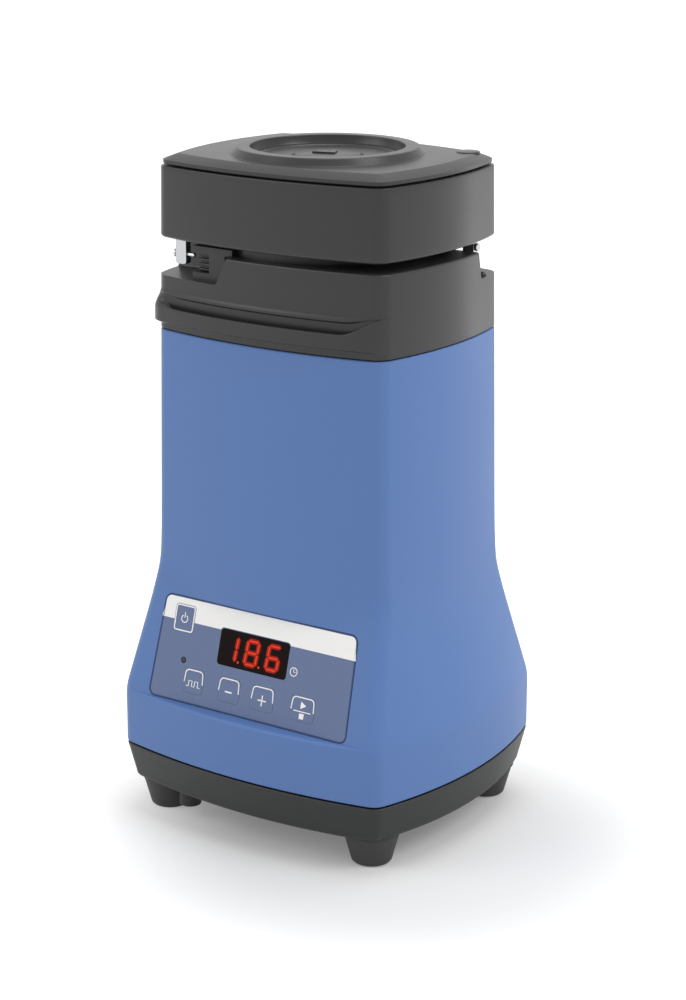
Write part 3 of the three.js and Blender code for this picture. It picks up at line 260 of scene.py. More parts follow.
def finish(name, colour, roughness, grain=2600, bump=0.04, vary=0.05, metal=0, stretch=(1, 1, 1),
           shine=0.5):
    material = bpy.data.materials.new(name)
    material.use_nodes = True
    tree = material.node_tree
    shader = tree.nodes["Principled BSDF"]
    shader.inputs["Metallic"].default_value = metal
    shader.inputs["Specular IOR Level"].default_value = shine
    place = tree.nodes.new("ShaderNodeTexCoord")
    mapping = tree.nodes.new("ShaderNodeMapping")
    mapping.inputs["Scale"].default_value = stretch
    tree.links.new(place.outputs["Object"], mapping.inputs["Vector"])
    fine = tree.nodes.new("ShaderNodeTexNoise")
    fine.inputs["Scale"].default_value = grain
    fine.inputs["Detail"].default_value = 3
    broad = tree.nodes.new("ShaderNodeTexNoise")
    broad.inputs["Scale"].default_value = BROAD
    broad.inputs["Detail"].default_value = 4
    for noise in (fine, broad):
        tree.links.new(mapping.outputs["Vector"], noise.inputs["Vector"])
    relief = tree.nodes.new("ShaderNodeBump")
    relief.inputs["Strength"].default_value = bump
    relief.inputs["Distance"].default_value = RELIEF
    tree.links.new(fine.outputs["Fac"], relief.inputs["Height"])
    tree.links.new(relief.outputs["Normal"], shader.inputs["Normal"])
    rough = tree.nodes.new("ShaderNodeMapRange")
    rough.inputs["To Min"].default_value = roughness - SPREAD
    rough.inputs["To Max"].default_value = roughness + SPREAD
    tree.links.new(broad.outputs["Fac"], rough.inputs["Value"])
    tree.links.new(rough.outputs["Result"], shader.inputs["Roughness"])
    tint = tree.nodes.new("ShaderNodeMix")
    tint.data_type = "RGBA"
    tint.inputs["A"].default_value = (*[c * (1 - vary) for c in colour], 1)
    tint.inputs["B"].default_value = (*[min(c * (1 + vary), 1) for c in colour], 1)
    tree.links.new(fine.outputs["Fac"], tint.inputs["Factor"])
    tree.links.new(tint.outputs["Result"], shader.inputs["Base Color"])
    return material


def shade(red, green, blue):
    """A screen colour, 0 to 255, as the linear colour that a shader takes."""
    return [((c / 255 + 0.055) / 1.055) ** 2.4 if c > 10 else c / 255 / 12.92 for c in (red, green, blue)]


# %% The finishes of this mill
BLUE = finish("blue housing", shade(91, 124, 181), 0.5, vary=0.03, shine=0.35)
DARK = finish("dark moulding", shade(49, 49, 49), 0.33, bump=0.03, vary=0.06, shine=0.36)
PAN = finish("base moulding", shade(50, 51, 51), 0.48, bump=0.08, vary=0.08, shine=0.32)
RUBBER = finish("rubber foot", shade(54, 54, 55), 0.6, bump=0.1, vary=0.1)
FOIL = finish("panel foil", shade(96, 112, 150), 0.38, grain=4000, bump=0.03, vary=0.02)
WHITE = finish("white print", shade(252, 251, 249), 0.45, grain=4000, bump=0.02, vary=0.01)
INK = finish("dark blue print", shade(38, 66, 112), 0.45, grain=4000, bump=0.02, vary=0.03)
STEEL = finish("polished steel", shade(180, 182, 184), 0.2, bump=0.02, vary=0.02, metal=1)
TURNED = finish("turned steel", shade(196, 198, 200), 0.24, grain=900, bump=0.06, vary=0.04, metal=1,
                stretch=(0.2, 0.2, 6))
SILICONE = finish("silicone", shade(186, 178, 164), 0.5, vary=0.04)
BLACK = finish("black moulding", shade(26, 27, 28), 0.45, bump=0.06, vary=0.08)
BOARD = finish("green board", shade(30, 92, 58), 0.4, grain=1200, vary=0.1)
LAMINATED = finish("laminated iron", shade(96, 98, 100), 0.4, grain=300, bump=0.3, metal=0.9,
                   stretch=(0.1, 0.1, 12))
COPPER = finish("copper winding", shade(186, 104, 60), 0.35, grain=900, bump=0.3, metal=0.9,
                stretch=(0.3, 0.3, 5))
CAST = finish("zinc casting", shade(150, 152, 154), 0.5, grain=900, bump=0.15, metal=0.8)
CARBON = finish("carbon", shade(34, 34, 35), 0.7, grain=1500, bump=0.1, vary=0.1)
print(len(bpy.data.materials), "finishes")

# %% The dark pane and the light of the display
def lit(material, colour, strength):
    shader = material.node_tree.nodes["Principled BSDF"]
    shader.inputs["Emission Color"].default_value = (*colour, 1)
    shader.inputs["Emission Strength"].default_value = strength
    return material


PANE = finish("dark pane", shade(22, 14, 12), 0.3, bump=0, vary=0.02, shine=0.06)
HALO = finish("glow round the digits", shade(70, 12, 8), 0.5, vary=0.02, shine=0.06)
GLOW = finish("lit segment", shade(150, 34, 20), 0.5, vary=0.02, shine=0.06)
lit(HALO, (0.5, 0.02, 0.01), 0.6)
lit(GLOW, (1, 0.09, 0.035), 0.5)
print("display in", PANE.name, HALO.name, "and", GLOW.name)

# %% Finishes on the nodes that stay as they are
BY_SLOT = {
    "blue_housing": BLUE, "dark_plastic": DARK, "base_plastic": PAN, "rubber": RUBBER,
    "panel_foil": FOIL, "window": BLACK, "red_light": BLACK, "board": BOARD, "steel": STEEL,
    "laminated_steel": LAMINATED, "copper": COPPER, "zinc_cast": CAST, "carbon": CARBON,
    "silicone": SILICONE, "moulded": BLACK,
}
for part in frame["record"]["subparts"]:
    node = nodes[part["node"]]
    node.data.materials.clear()
    node.data.materials.append(BY_SLOT[part["material_slot"]])
print(len(BY_SLOT), "slots have a finish")

# %% [markdown]
# ## Outlines
# Seen from above, the base, the housing, the collar and the lid are rectangles with bowed sides
# and rounded corners. Such an outline could be drawn point by point, but every shell needs its own
# size of it. So one function gives it from its half sizes at the middle of each side, how far each
# side bows, and its corner radius. All outlines have the same number of points.

# %% The bowed outline
SIDE, CORNER = 20, 10


def bowed(half_x, half_y, sag_x, sag_y, corner):
    corner = max(corner, 0.8)
    edge_x, edge_y = half_x - sag_x, half_y - sag_y
    radius_x = (edge_y ** 2 + sag_x ** 2) / (2 * sag_x)
    radius_y = (edge_x ** 2 + sag_y ** 2) / (2 * sag_y)
    centre_x, centre_y = half_x - radius_x, half_y - radius_y
    reach_x, reach_y = radius_x - corner, radius_y - corner
    apart = math.hypot(centre_x, centre_y)
    along = (reach_x ** 2 - reach_y ** 2 + apart ** 2) / (2 * apart)
    across = math.sqrt(reach_x ** 2 - along ** 2)
    ux, uy = -centre_x / apart, centre_y / apart
    meet = (centre_x + along * ux, along * uy)
    fillet = max(((meet[0] - s * uy * across, meet[1] + s * ux * across) for s in (1, -1)), key=sum)
    start = math.atan2(fillet[1], fillet[0] - centre_x)
    end = math.atan2(fillet[1] - centre_y, fillet[0])
    quarter = []
    arcs = [(centre_x, 0, radius_x, 0, start, SIDE), (*fillet, corner, start, end, CORNER),
            (0, centre_y, radius_y, end, math.pi / 2, SIDE)]
    for cx, cy, radius, a, b, steps in arcs:
        for i in range(steps):
            t = a + (b - a) * i / steps
            quarter.append((cx + radius * math.cos(t), cy + radius * math.sin(t)))
    back = quarter[:0:-1]
    return (quarter + [(0, half_y)] + [(-x, y) for x, y in back] + [(-x, -y) for x, y in quarter]
            + [(0, -half_y)] + [(x, -y) for x, y in back])


def at(points, z):
    return [(x, y, z) for x, y in points]


# %% Outlines of the wall and of the base, in millimetres
WALL_TOP, SEAM = 177.4, 26
WALL_X, WALL_Y, WALL_CORNER = 52.25, 41.63, 6.6
DRAFT_X, DRAFT_Y = 2.25, 1.79
BOW_X, BOW_Y = 5.03, 5.7
BASE_X, BASE_Y, BASE_CORNER = 63.9, 56.2, 6.2
BASE_BOW_X, BASE_BOW_Y = 8.6, 6.4


def wall_half(z):
    """Half sizes of the wall, which leans out towards its foot."""
    share = (WALL_TOP - z) / (WALL_TOP - SEAM)
    return WALL_X + DRAFT_X * share, WALL_Y + DRAFT_Y * share


def wall(z, grow=0):
    half_x, half_y = wall_half(z)
    return bowed(half_x + grow, half_y + grow, BOW_X, BOW_Y, WALL_CORNER + grow)


def base(grow=0):
    return bowed(BASE_X + grow, BASE_Y + grow, BASE_BOW_X, BASE_BOW_Y, BASE_CORNER + grow)


print("outline of", len(base()), "points")

# %% [markdown]
# ## The housing
# The blue housing is one moulding. It rises from a bowed foot, leans in over a flare, and runs up
# as a nearly straight wall. A flat tilted facet at the front carries the key panel, and where it
# meets the foot it leaves a crescent-shaped ledge. Cutting the facet with a block would leave a
# hard edge, so the facet is worked into each level, with a small rounding.

# %% Where the housing's surface is at each level
BAND_TOP, FLARE_TOP, FLARE_BOW, FLARE_EASE = 46.6, 95, 2, 3
FACET_FOOT_Y, FACET_HEAD_Y, FACET_HEAD_Z = 51.1, 40.95, 82.8
FACET_TILT = math.atan2(FACET_FOOT_Y - FACET_HEAD_Y, FACET_HEAD_Z - BAND_TOP)
FACET_EDGE, FRONT_EASE, SIDE_EASE = 1.0, 1.2, 2.5


def softly(a, b, soft):
    """The larger of two values, with a rounded change from one to the other."""
    h = max(soft - abs(a - b), 0) / soft
    return max(a, b) + h * h * soft / 4


def facet_y(z):
    return FACET_FOOT_Y - (z - BAND_TOP) * math.tan(FACET_TILT)


def flare(z, grow=0):
    """The leaning part of the foot: a straight blend from the base's outline to the flare's top."""
    half_x, half_y = wall_half(FLARE_TOP)
    top = bowed(half_x - BOW_X + FLARE_BOW + grow, half_y - BOW_Y + FLARE_BOW + grow,
                FLARE_BOW, FLARE_BOW, WALL_CORNER + grow)
    lift = z - BAND_TOP
    lift = max(lift, 0) if abs(lift) > FLARE_EASE else (lift + FLARE_EASE) ** 2 / (4 * FLARE_EASE)
    share = lift / (FLARE_TOP - BAND_TOP)
    return [(a[0] + (b[0] - a[0]) * share, a[1] + (b[1] - a[1]) * share)
            for a, b in zip(base(grow), top)]


def wider(wall_value, flare_value, soft):
    """The one of wall and flare that stands further out, on the wall's side of the middle."""
    if abs(wall_value) < 1e-6:
        return 0
    return math.copysign(softly(abs(wall_value), abs(flare_value), soft), wall_value)


def housing_level(z, grow=0):
    level = []
    for (wx, wy), (fx, fy) in zip(wall(z, grow), flare(z, grow)):
        limit = facet_y(z) + grow
        if abs(fy) > limit - FACET_EDGE:
            fy = math.copysign(-softly(-abs(fy), -limit, FACET_EDGE), fy)
        level.append((wider(wx, fx, SIDE_EASE), wider(wy, fy, FRONT_EASE), z))
    return level


# %% The outer surface of the housing, level by level
BAND_ROUND, FACET_STEP = 1.1, 1.6
levels = [at(base(-0.25), SEAM), at(base(), SEAM + 0.3)]
levels += [at(flare(z), z) for z in (30, 36, 42, 43.5, 44.5, BAND_TOP - BAND_ROUND)]
foot_of_facet = housing_level(BAND_TOP)
for k in range(1, 7):
    t = k / 6 * math.pi / 2
    z = BAND_TOP - BAND_ROUND * (1 - math.sin(t))
    level = []
    for (x, y), (fx, fy, _) in zip(flare(z), foot_of_facet):
        deep = max(math.hypot(fx - x, fy - y), 0.05)
        share = min(BAND_ROUND, deep / 2) / deep * (1 - math.cos(t))
        level.append((x + (fx - x) * share, y + (fy - y) * share, z))
    levels.append(level)
levels += [housing_level(BAND_TOP + FACET_STEP * k) for k in range(34)]
levels += [housing_level(z) for z in (105, 115, 130, 145, 160, 172)]
levels += [at(wall(WALL_TOP), WALL_TOP - 0.3), at(wall(WALL_TOP, -0.3), WALL_TOP)]
housing = grown("housing_shell_fine", levels)
print("housing of", len(levels), "levels")

# %% [markdown]
# The panel sits in a shallow pocket, and the window, keys and status light reach through the wall.
# At the back, the mains inlet fills a square hole in the opposite facet. The holes for the window,
# the keys and the inlet are cut with boolean modifiers, and the inside of the shell is taken out with
# a smaller copy of its own form.

# %% The facet's own plane: X to the right, Y up the slope, Z out of the housing
HALF_TURN = Matrix.Rotation(math.pi, 4, "Z")
FRONT = shifted(0, -FACET_FOOT_Y, BAND_TOP) @ Matrix.Rotation(math.pi / 2 - FACET_TILT, 4, "X")
REAR = HALF_TURN @ FRONT


def rounded(left, right, low, high, corner, lean=0, steps=6):
    """A rectangle with rounded corners; lean draws its upper corners in."""
    corners = [(right - corner, low + corner, -90), (right - lean - corner, high - corner, 0),
               (left + lean + corner, high - corner, 90), (left + corner, low + corner, 180)]
    points = []
    for x, y, first in corners:
        for k in range(steps + 1):
            t = math.radians(first + 90 * k / steps)
            points.append((x + corner * math.cos(t), y + corner * math.sin(t)))
    return points


# %% The panel, the keys and the window in that plane: left, right, low and high
PANEL_HALF, PANEL_LOW, PANEL_HIGH, PANEL_CORNER, PANEL_LEAN = 42.8, 0.4, 37.4, 2.6, 1.3
LIGHT_X, LIGHT_Y = -29.8, 15.2
WALL_CUT = -14, 5  # how deep the tools reach into the housing and how far they stand out
KEYS = {
    "key_power": (-36.4, -27.6, 25, 34.7), "key_interval": (-28.4, -19.7, 4.3, 12.8),
    "key_minus": (-13, -3.7, 4.3, 12.8), "key_plus": (1.4, 11.2, 4.3, 12.8),
    "key_start": (18.5, 28.6, 4.3, 12.8),
}
WINDOW = (-15.3, 14.6, 16.8, 29.6)
HOLE_CORNER = 1.2


def panel(grow):
    return rounded(-PANEL_HALF - grow, PANEL_HALF + grow, PANEL_LOW - grow, PANEL_HIGH + grow,
                   PANEL_CORNER + grow, PANEL_LEAN)


def hole(sides, grow):
    left, right, low, high = sides
    return rounded(left - grow, right + grow, low - grow, high + grow, max(HOLE_CORNER + grow, 0.1))


print("panel of", round(PANEL_HALF * 2, 1), "by", round(PANEL_HIGH - PANEL_LOW, 1), "mm")

# %% Cut the pockets and the hollow
levels = [at(base(-2.5), SEAM - 5), at(base(-2.5), BAND_TOP - 4.5)]
levels += [housing_level(z, -2.6) for z in (48, 56, 64, 72, 80, 88, 96, 120, 150)]
levels += [at(wall(WALL_TOP, -2.5), WALL_TOP + 5)]
carve(housing, grown("hollow", levels))
carve(housing, moved(slab("pocket", panel(0.3), -0.9, 12), FRONT))
for name, sides in KEYS.items():
    carve(housing, moved(slab(name, hole(sides, 0.3), *WALL_CUT), FRONT))
carve(housing, moved(slab("window hole", hole(WINDOW, -1), *WALL_CUT), FRONT))
carve(housing, moved(slab("inlet hole", rounded(-13.7, 13.7, 4.8, 25.2, 0.5), *WALL_CUT), REAR))
soften(housing, 0.15, 2, 50)
finished(housing, "housing_body", BLUE, "housing_shell")

# %% [markdown]
# ## The base pan
# A dark tray closes the housing from below. Its side leans in towards the table and ends in a
# well-rounded edge, and a thin line of shadow parts it from the blue wall. A bevelled block would
# have straight sides, so the tray is grown from the same bowed outline as the wall's foot. The last
# levels turn inwards and down again, which leaves it open at the top.

# %% Base pan
PAN_FOOT, PAN_ROUND, PAN_LEAN, PAN_SIDE, PAN_RISE = 11.3, 2.6, 2.4, 13.9, 11.6
levels = []
for k in range(9):
    t = k / 8 * math.pi / 2
    inset = PAN_LEAN + PAN_ROUND * (1 - math.sin(t))
    levels.append(at(base(-inset), PAN_FOOT + PAN_ROUND * (1 - math.cos(t))))
levels += [at(base(-PAN_LEAN + PAN_LEAN * (z - PAN_SIDE) / PAN_RISE), z) for z in (17, 20, 23, 25)]
levels += [at(base(-0.3), 25.3), at(base(-2.8), 24.7), at(base(-2.8), 29.5), at(base(-4.4), 29.5)]
levels += [at(base(-4.4), 25.5), at(base(-7.4), 13.7)]
pan = grown("base_pan_shell", levels)
print("base pan of", len(levels), "levels")

# %% [markdown]
# Slots in the floor let the motor breathe, and four bosses take the feet and their screws. They
# could be loose parts inside the tray, but in one moulding they are joined to it, so this is done
# with boolean modifiers. A short stub hangs under the front left, beside one foot.

# %% Vents and bosses of the base pan
FOOT_X, FOOT_Y = 44.7, 37.3
BOSS = [(2.3, 11.3), (10.4, 11.3), (10.4, 12.6), (6, 20.7), (2.3, 20.7)]
for k in range(7):
    x = (k - 3) * 6.5
    carve(pan, slab("vent", rounded(x - 1.5, x + 1.5, -17, 17, 1.4), 5, 20))
for sx in (-1, 1):
    for sy in (-1, 1):
        shift = shifted(sx * FOOT_X, sy * FOOT_Y)
        carve(pan, moved(turned("boss", BOSS, 48), shift), "UNION")
        carve(pan, moved(slab("bore", rounded(-2.3, 2.3, -2.3, 2.3, 2.29), 5, 25), shift))
soften(pan, 0.2, 2, 50)
finished(pan, "housing_body", PAN, "base_pan")
lug = turned("base_stub", [(0, 4.6), (3.4, 4.6), (3.8, 4.8), (4, 5.2), (4, 10.7), (0, 10.7)], 48)
moved(smooth(lug), shifted(-31, -43))
finished(lug, "housing_body", PAN, "base_lug")

# %% [markdown]
# ## The feet
# Four rubber feet stand under the corners. Each is a tapered plug with a rounded lower edge and a
# hole for its screw. They could be tapered cylinders with a bevel, but the hole has a step for the
# screw's head. So one foot is turned from a profile and copied to the four places.

# %% Rubber feet
FOOT = [(3.7, 0.4), (4.1, 0), (5.6, 0), (6.5, 0.3), (7.1, 0.9), (7.35, 1.7), (8.5, 6), (9.7, 10.3),
        (9.8, 11), (2.3, 11), (2.3, 5.8), (3.7, 5.8)]
foot = smooth(turned("foot", FOOT, 72), 40)
for k, (sx, sy) in enumerate(((1, -1), (1, 1), (-1, 1), (-1, -1)), start=1):
    twin = copied(foot, f"rubber_foot_{k}", shifted(sx * FOOT_X, sy * FOOT_Y))
    finished(twin, "housing_body", RUBBER, f"foot_{k}")
bpy.data.objects.remove(foot)

# %% [markdown]
# ## The collar
# The collar is the most worked moulding: a ledge with a trough runs along its front and round the
# left corner, two diagonal corners are stepped down to make room for the bars, and a neck in the
# middle carries the chamber. The ledge is part of the outline of each level, pushed out or in by
# its share at each point. The steps are then cut out and the catch blocks joined on.

# %% How much of the ledge stands at each point of the outline
COLLAR_FOOT, COLLAR_TOP = 177.7, 206.3


def ease(t):
    t = min(max(t, 0), 1)
    return t * t * (3 - 2 * t)


def ledge_share(x, y):
    u, v = x / WALL_X, y / WALL_Y
    if v > 0.15 or (u > 0 and v > -0.5):
        return 0
    left = ease((0.15 - v) / 0.3) if u < 0 else 1
    return min(left, ease((0.93 - u) / 0.3))


def trough_share(x):
    """The trough behind the ledge runs out towards the left corner, and leaves a plain slope."""
    return ease((x + 48) / 13)


plan, upper = wall(WALL_TOP), wall(COLLAR_TOP)


def pushed(out, height):
    """The wall's outline at each point's own height, moved out along the normal by its share."""
    placed = []
    for i, (x, y) in enumerate(plan):
        (ax, ay), (bx, by) = plan[i - 1], plan[(i + 1) % len(plan)]
        length = math.hypot(bx - ax, by - ay)
        s = ledge_share(x, y), trough_share(x)
        far, z = out(*s), height(*s)
        lean = (z - WALL_TOP) / (COLLAR_TOP - WALL_TOP)
        placed.append((x + (upper[i][0] - x) * lean + (by - ay) / length * far,
                       y + (upper[i][1] - y) * lean - (bx - ax) / length * far, z))
    return placed


# %% The collar's outer surface
TIP = 192.0
# Each row: the height at the tapered tip, then how far out and how high the surface is where the
# ledge is plain, then the same two where it has its trough.
LEDGE = [
    (180.0, 0, 180.0, 0, 180.0),
    (180.1, 0.25, 180.4, 0.25, 180.4),
    (180.3, 1.9, 180.6, 1.9, 180.6),
    (180.6, 2.2, 180.9, 2.2, 180.9),
    (TIP - 0.5, 2.2, 185.5, 2.2, 185.6),
    (TIP - 0.3, 2.15, 185.9, 2.0, 185.85),
    (TIP - 0.2, 2.0, 186.4, 1.75, 185.9),
    (TIP - 0.2, 1.8, 187.0, 1.3, 185.9),
    (TIP - 0.2, 1.6, 187.5, 1.0, 185.7),
    (TIP - 0.2, 1.4, 188.0, 0.8, 183.2),
    (TIP - 0.15, 1.2, 188.4, 0.5, 182.7),
    (TIP - 0.1, 1.0, 188.8, 0, 182.4),
    (TIP - 0.1, 0.8, 189.2, -0.6, 182.4),
    (TIP - 0.1, 0.65, 189.6, -1.0, 182.7),
    (TIP - 0.1, 0.5, 189.9, -1.2, 183.3),
    (TIP - 0.1, 0.4, 190.3, -1.0, 189.0),
    (TIP - 0.1, 0.3, 190.7, -0.8, 189.4),
    (TIP - 0.1, 0.26, 190.9, 0, 189.6),
    (TIP - 0.1, 0.22, 191.05, 0.35, 189.9),
    (TIP - 0.1, 0.18, 191.2, 0.45, 190.35),
    (TIP - 0.1, 0.14, 191.35, 0.32, 190.9),
    (TIP, 0.08, 191.6, 0.1, 191.4),
    (TIP + 0.1, 0, 192.0, 0, 192.0),
]


def between(tip, plain, deep):
    return lambda s, t: tip + (plain + (deep - plain) * t - tip) * s


levels = [at(wall(WALL_TOP, -4.8), z) for z in (193.7, 171.4)]
levels += [at(wall(WALL_TOP, -2.8), z) for z in (171.4, COLLAR_FOOT)]
levels += [at(wall(COLLAR_FOOT, -0.3), COLLAR_FOOT), at(wall(COLLAR_FOOT), COLLAR_FOOT + 0.3)]
levels += [at(wall(179.2), 179.2)]
for tip_z, plain_out, plain_z, deep_out, deep_z in LEDGE:
    levels.append(pushed(between(0, plain_out, deep_out), between(tip_z, plain_z, deep_z)))
levels += [at(wall(z), z) for z in (194, 197, 200, 203)]
RIM_ROUND = 0.7
for k in range(5):
    t = k / 4 * math.pi / 2
    inset = RIM_ROUND * (1 - math.cos(t))
    levels.append(at(wall(COLLAR_TOP, -inset), COLLAR_TOP - RIM_ROUND + RIM_ROUND * math.sin(t)))
collar = grown("collar_shell", levels)
print("collar of", len(levels), "levels")

# %% [markdown]
# A step is cut into the front left corner and, turned by half, into the back right one. Its floor
# and its walls meet in a small fillet, and a bevel on the finished collar would reach edges that
# have to stay crisp. So the cutting tool is softened before it is used. The catch block stands in
# the step, with a lip that the bar's pin turns under.

# %% The two steps and the catches
STEP, CATCH_TOP, LIP_UNDER = 196.7, 208.5, 205.9
CATCH_X, FACE_Y, CATCH_Y, CATCH_WIDE, CATCH_DEEP = -31.0, -32.63, -36.53, 14, 9.9
STEP_MOUTH, TOOL_TOP, OUTSIDE = 206.31, 215, -95


def step_outline(right, slant):
    return [(right - WALL_X, OUTSIDE), (right - WALL_X, -WALL_Y), (right - 57.75, FACE_Y),
            (CATCH_X, FACE_Y), (CATCH_X, -24.83), (-39.25, slant - 20), (OUTSIDE, slant - 20),
            (OUTSIDE, OUTSIDE)]


rise = (STEP_MOUTH - STEP) / (TOOL_TOP - STEP)
high = [(a + (b - a) / rise, c + (d - c) / rise)
        for (a, c), (b, d) in zip(step_outline(35, 0), step_outline(39.6, 2))]
step = grown("step", [at(step_outline(35, 0), STEP), at(high, TOOL_TOP)])
soften(step, 0.7, 3, 25)
carve(collar, copied(step, "step_back", HALF_TURN))
carve(collar, step)

back = CATCH_Y + CATCH_DEEP
catch = block("catch", CATCH_X, CATCH_X + CATCH_WIDE, CATCH_Y, back, STEP - 1, CATCH_TOP)
carve(catch, block("lip", CATCH_X + 2, -13.85, CATCH_Y, back, LIP_UNDER, CATCH_TOP), "UNION")
soften(catch, 0.3, 3, 30)
window = block("window", CATCH_X - 2, CATCH_X + 7.2, CATCH_Y - 2, CATCH_Y + 5.2, 199.3, LIP_UNDER)
soften(window, 0.35, 2, 30)
carve(catch, window)
carve(collar, copied(catch, "catch_back", HALF_TURN), "UNION")
carve(collar, catch, "UNION")
print("collar with steps", len(collar.data.polygons), "faces")

# %% The neck, the bore for the chamber, and the hole for the plunger
NECK = [(0, 205), (36.55, 205), (36.55, 210.4), (36.4, 210.8), (36, 211), (0, 211)]
BORE = [(0, 170), (29.3, 170), (29.3, 210.7), (29.6, 211), (30, 214), (0, 214)]
PLUNGER_AT = 46.95, 26.2
carve(collar, turned("neck", NECK, 160), "UNION")
carve(collar, turned("bore", BORE, 160))
hole_tool = turned("plunger_hole", [(0, 180), (1.5, 180), (1.5, 204), (0, 204)], 40)
carve(collar, moved(hole_tool, shifted(*PLUNGER_AT)))
soften(collar, 0.25, 2, 55)
finished(collar, "housing_body", DARK, "collar")

# %% [markdown]
# Behind each catch's window sits a small ribbed insert. In the back right step stands the plunger
# that the lid presses, so that the motor can't run with the lid off. The inserts keep the form of
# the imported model, with softened edges. The plunger is turned, which keeps its domed tip round.

# %% Ribbed inserts behind the windows, and the interlock's plunger
for side in ("left", "right"):
    rib = from_node(f"catch_ribs_{side}", f"catch_insert_{side}", 0.18, 2, 40)
    finished(rib, "housing_body", BLACK, f"catch_insert_{side}")
DOMED = [(0, -5.2), (1.3, -5.2), (1.3, 0.1), (1.15, 0.6), (0.85, 1.05), (0.5, 1.32), (0, 1.4)]
plunger = turned("interlock_pin", DOMED, 40)
smooth(moved(plunger, shifted(*PLUNGER_AT, STEP)))
finished(plunger, "plunger", DARK, "interlock_plunger")

# %% [markdown]
# ## The grinding chamber
# The cup and the parts of the blade are steel, and the seal on the shaft is silicone. The cup could
# be a hollowed cylinder, but a mill's cup has a generous radius between wall and floor, so that no
# sample stays in a corner. So it is turned from one profile that has all its radii.

# %% Cup and seal
def rounding(x, z, radius, first, last, steps=6):
    """Profile points on an arc about (x, z), from one angle in degrees to another."""
    angles = [math.radians(first + (last - first) * k / steps) for k in range(steps + 1)]
    return [(x + radius * math.cos(a), z + radius * math.sin(a)) for a in angles]


CUP = [(6.3, 174.0)] + rounding(27, 176, 2, -90, 0) + [(29, 211.3), (33.5, 211.3)]
CUP += rounding(33.6, 211.6, 0.2, -90, 0, 3) + rounding(33.4, 212.4, 0.4, 0, 90, 4)
CUP += rounding(28.1, 212.2, 0.6, 90, 180, 4) + rounding(25, 178.5, 2.5, 0, -90) + [(6.3, 176.0)]
cup = smooth(turned("grinding_cup", CUP, 160))
finished(cup, "housing_body", TURNED, "grinding_chamber")
SEAL = [(4.3, 172), (8, 172), (8, 173.7), (6, 173.7), (6, 176.6), (5.7, 177), (5, 177),
        (4.6, 176.6), (4.3, 176)]
finished(smooth(turned("seal_lip", SEAL, 96)), "housing_body", SILICONE, "shaft_seal")

# %% [markdown]
# The blade is a flat bar whose two arms bend up. Both arms are ground to an edge on the side that
# meets the sample, and a domed nut holds it on the motor shaft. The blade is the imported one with
# its edges softened. The nut is a hexagon cut by a cone, as a real nut's corners are turned off.

# %% Blade and nut
knife = from_node("beater_blade", "blade", 0.3, 2, 30)
finished(knife, "rotor", STEEL, "blade")
hexagon = [(5.9 * math.cos(k * math.pi / 3), 5.9 * math.sin(k * math.pi / 3)) for k in range(6)]
dome_nut = slab("dome_nut", hexagon, 180.6, 185.6)
cone = [(0, 180.5), (5.2, 180.5), (6, 181.1), (6, 184.9), (5.2, 185.7), (0, 185.7)]
carve(dome_nut, turned("cone", cone, 96), "INTERSECT")
crown = [(0, 185), (4.6, 185)]
crown += [(4.6 * math.cos(a), 185.6 + 2 * math.sin(a)) for a in (0, 0.3, 0.6, 0.9, 1.2, 1.4)]
crown += [(0, 187.6)]
carve(dome_nut, turned("crown", crown, 96), "UNION")
carve(dome_nut, turned("thread", [(0, 180), (4.3, 180), (4.3, 185.3), (0, 185.3)], 64))
soften(dome_nut, 0.12, 2, 30)
finished(dome_nut, "rotor", STEEL, "blade_nut")

# %% [markdown]
# ## The lid
# The lid is a deep cap that stands just clear of the collar. Inside it carries the steel plug that
# closes the chamber, on a hub, and a slotted boss for each of the two bars. A solid could be
# hollowed out with a boolean, but its levels run down inside and up outside, so the cap is grown
# with its thickness from the start. Only the hub, the bosses and their slots are joined and cut.

# %% Lid cap
LID_FOOT, RIM_TOP, LID_TOP, LID_ROUND = 209.7, 234.5, 235.1, 1.1
BAR_X, BAR_Y = 36.8, 34.2
HUB = [(0, 217.7), (11.6, 217.7), (12, 218.1), (12, 232.6), (0, 232.6)]
STEM = [(0, 205), (8.3, 205), (8.3, 233.1), (11.3, 233.1), (11.3, 240), (0, 240)]
levels = [at(wall(LID_TOP, -3.1), 232.1), at(wall(LID_TOP, -2.7), 231.9), at(wall(LID_TOP, -2.5), 231.5)]
levels += [at(wall(LID_TOP, -2.5), z) for z in (222, 210.1)] + [at(wall(LID_FOOT, -2.2), LID_FOOT)]
for k in range(7):
    t = k / 6 * math.pi / 2
    inset = LID_ROUND * (1 - math.sin(t))
    levels.append(at(wall(LID_FOOT, -inset), LID_FOOT + LID_ROUND * (1 - math.cos(t))))
levels += [at(wall(z), z) for z in (213, 217, 222, 228, 232, 234)]
levels += [at(wall(RIM_TOP, -0.15), 234.35), at(wall(RIM_TOP, -0.5), RIM_TOP)]
levels += [at(wall(RIM_TOP, -3.6), RIM_TOP), at(wall(RIM_TOP, -3.6), LID_TOP)]
lid = grown("lid_cap", levels)
carve(lid, turned("hub", HUB, 96), "UNION")
inside = slab("inside", wall(LID_TOP, -1.25), 209.8, 235)
for sign in (-1, 1):
    x, y = sign * BAR_X, sign * BAR_Y
    boss = block("boss", x - 4.8, x + 4.8, y - 4, y + 4, 210.8, 232.6)
    carve(boss, copied(inside, "inside_copy"), "INTERSECT")
    carve(lid, boss, "UNION")
    carve(lid, block("slot", x - 2.5, x + 2.5, y - 1.7, y + 1.7, 205, 224))
bpy.data.objects.remove(inside)
carve(lid, turned("stem_hole", STEM, 96))
soften(lid, 0.25, 2, 50)
finished(lid, "lid", DARK, "lid_shell")

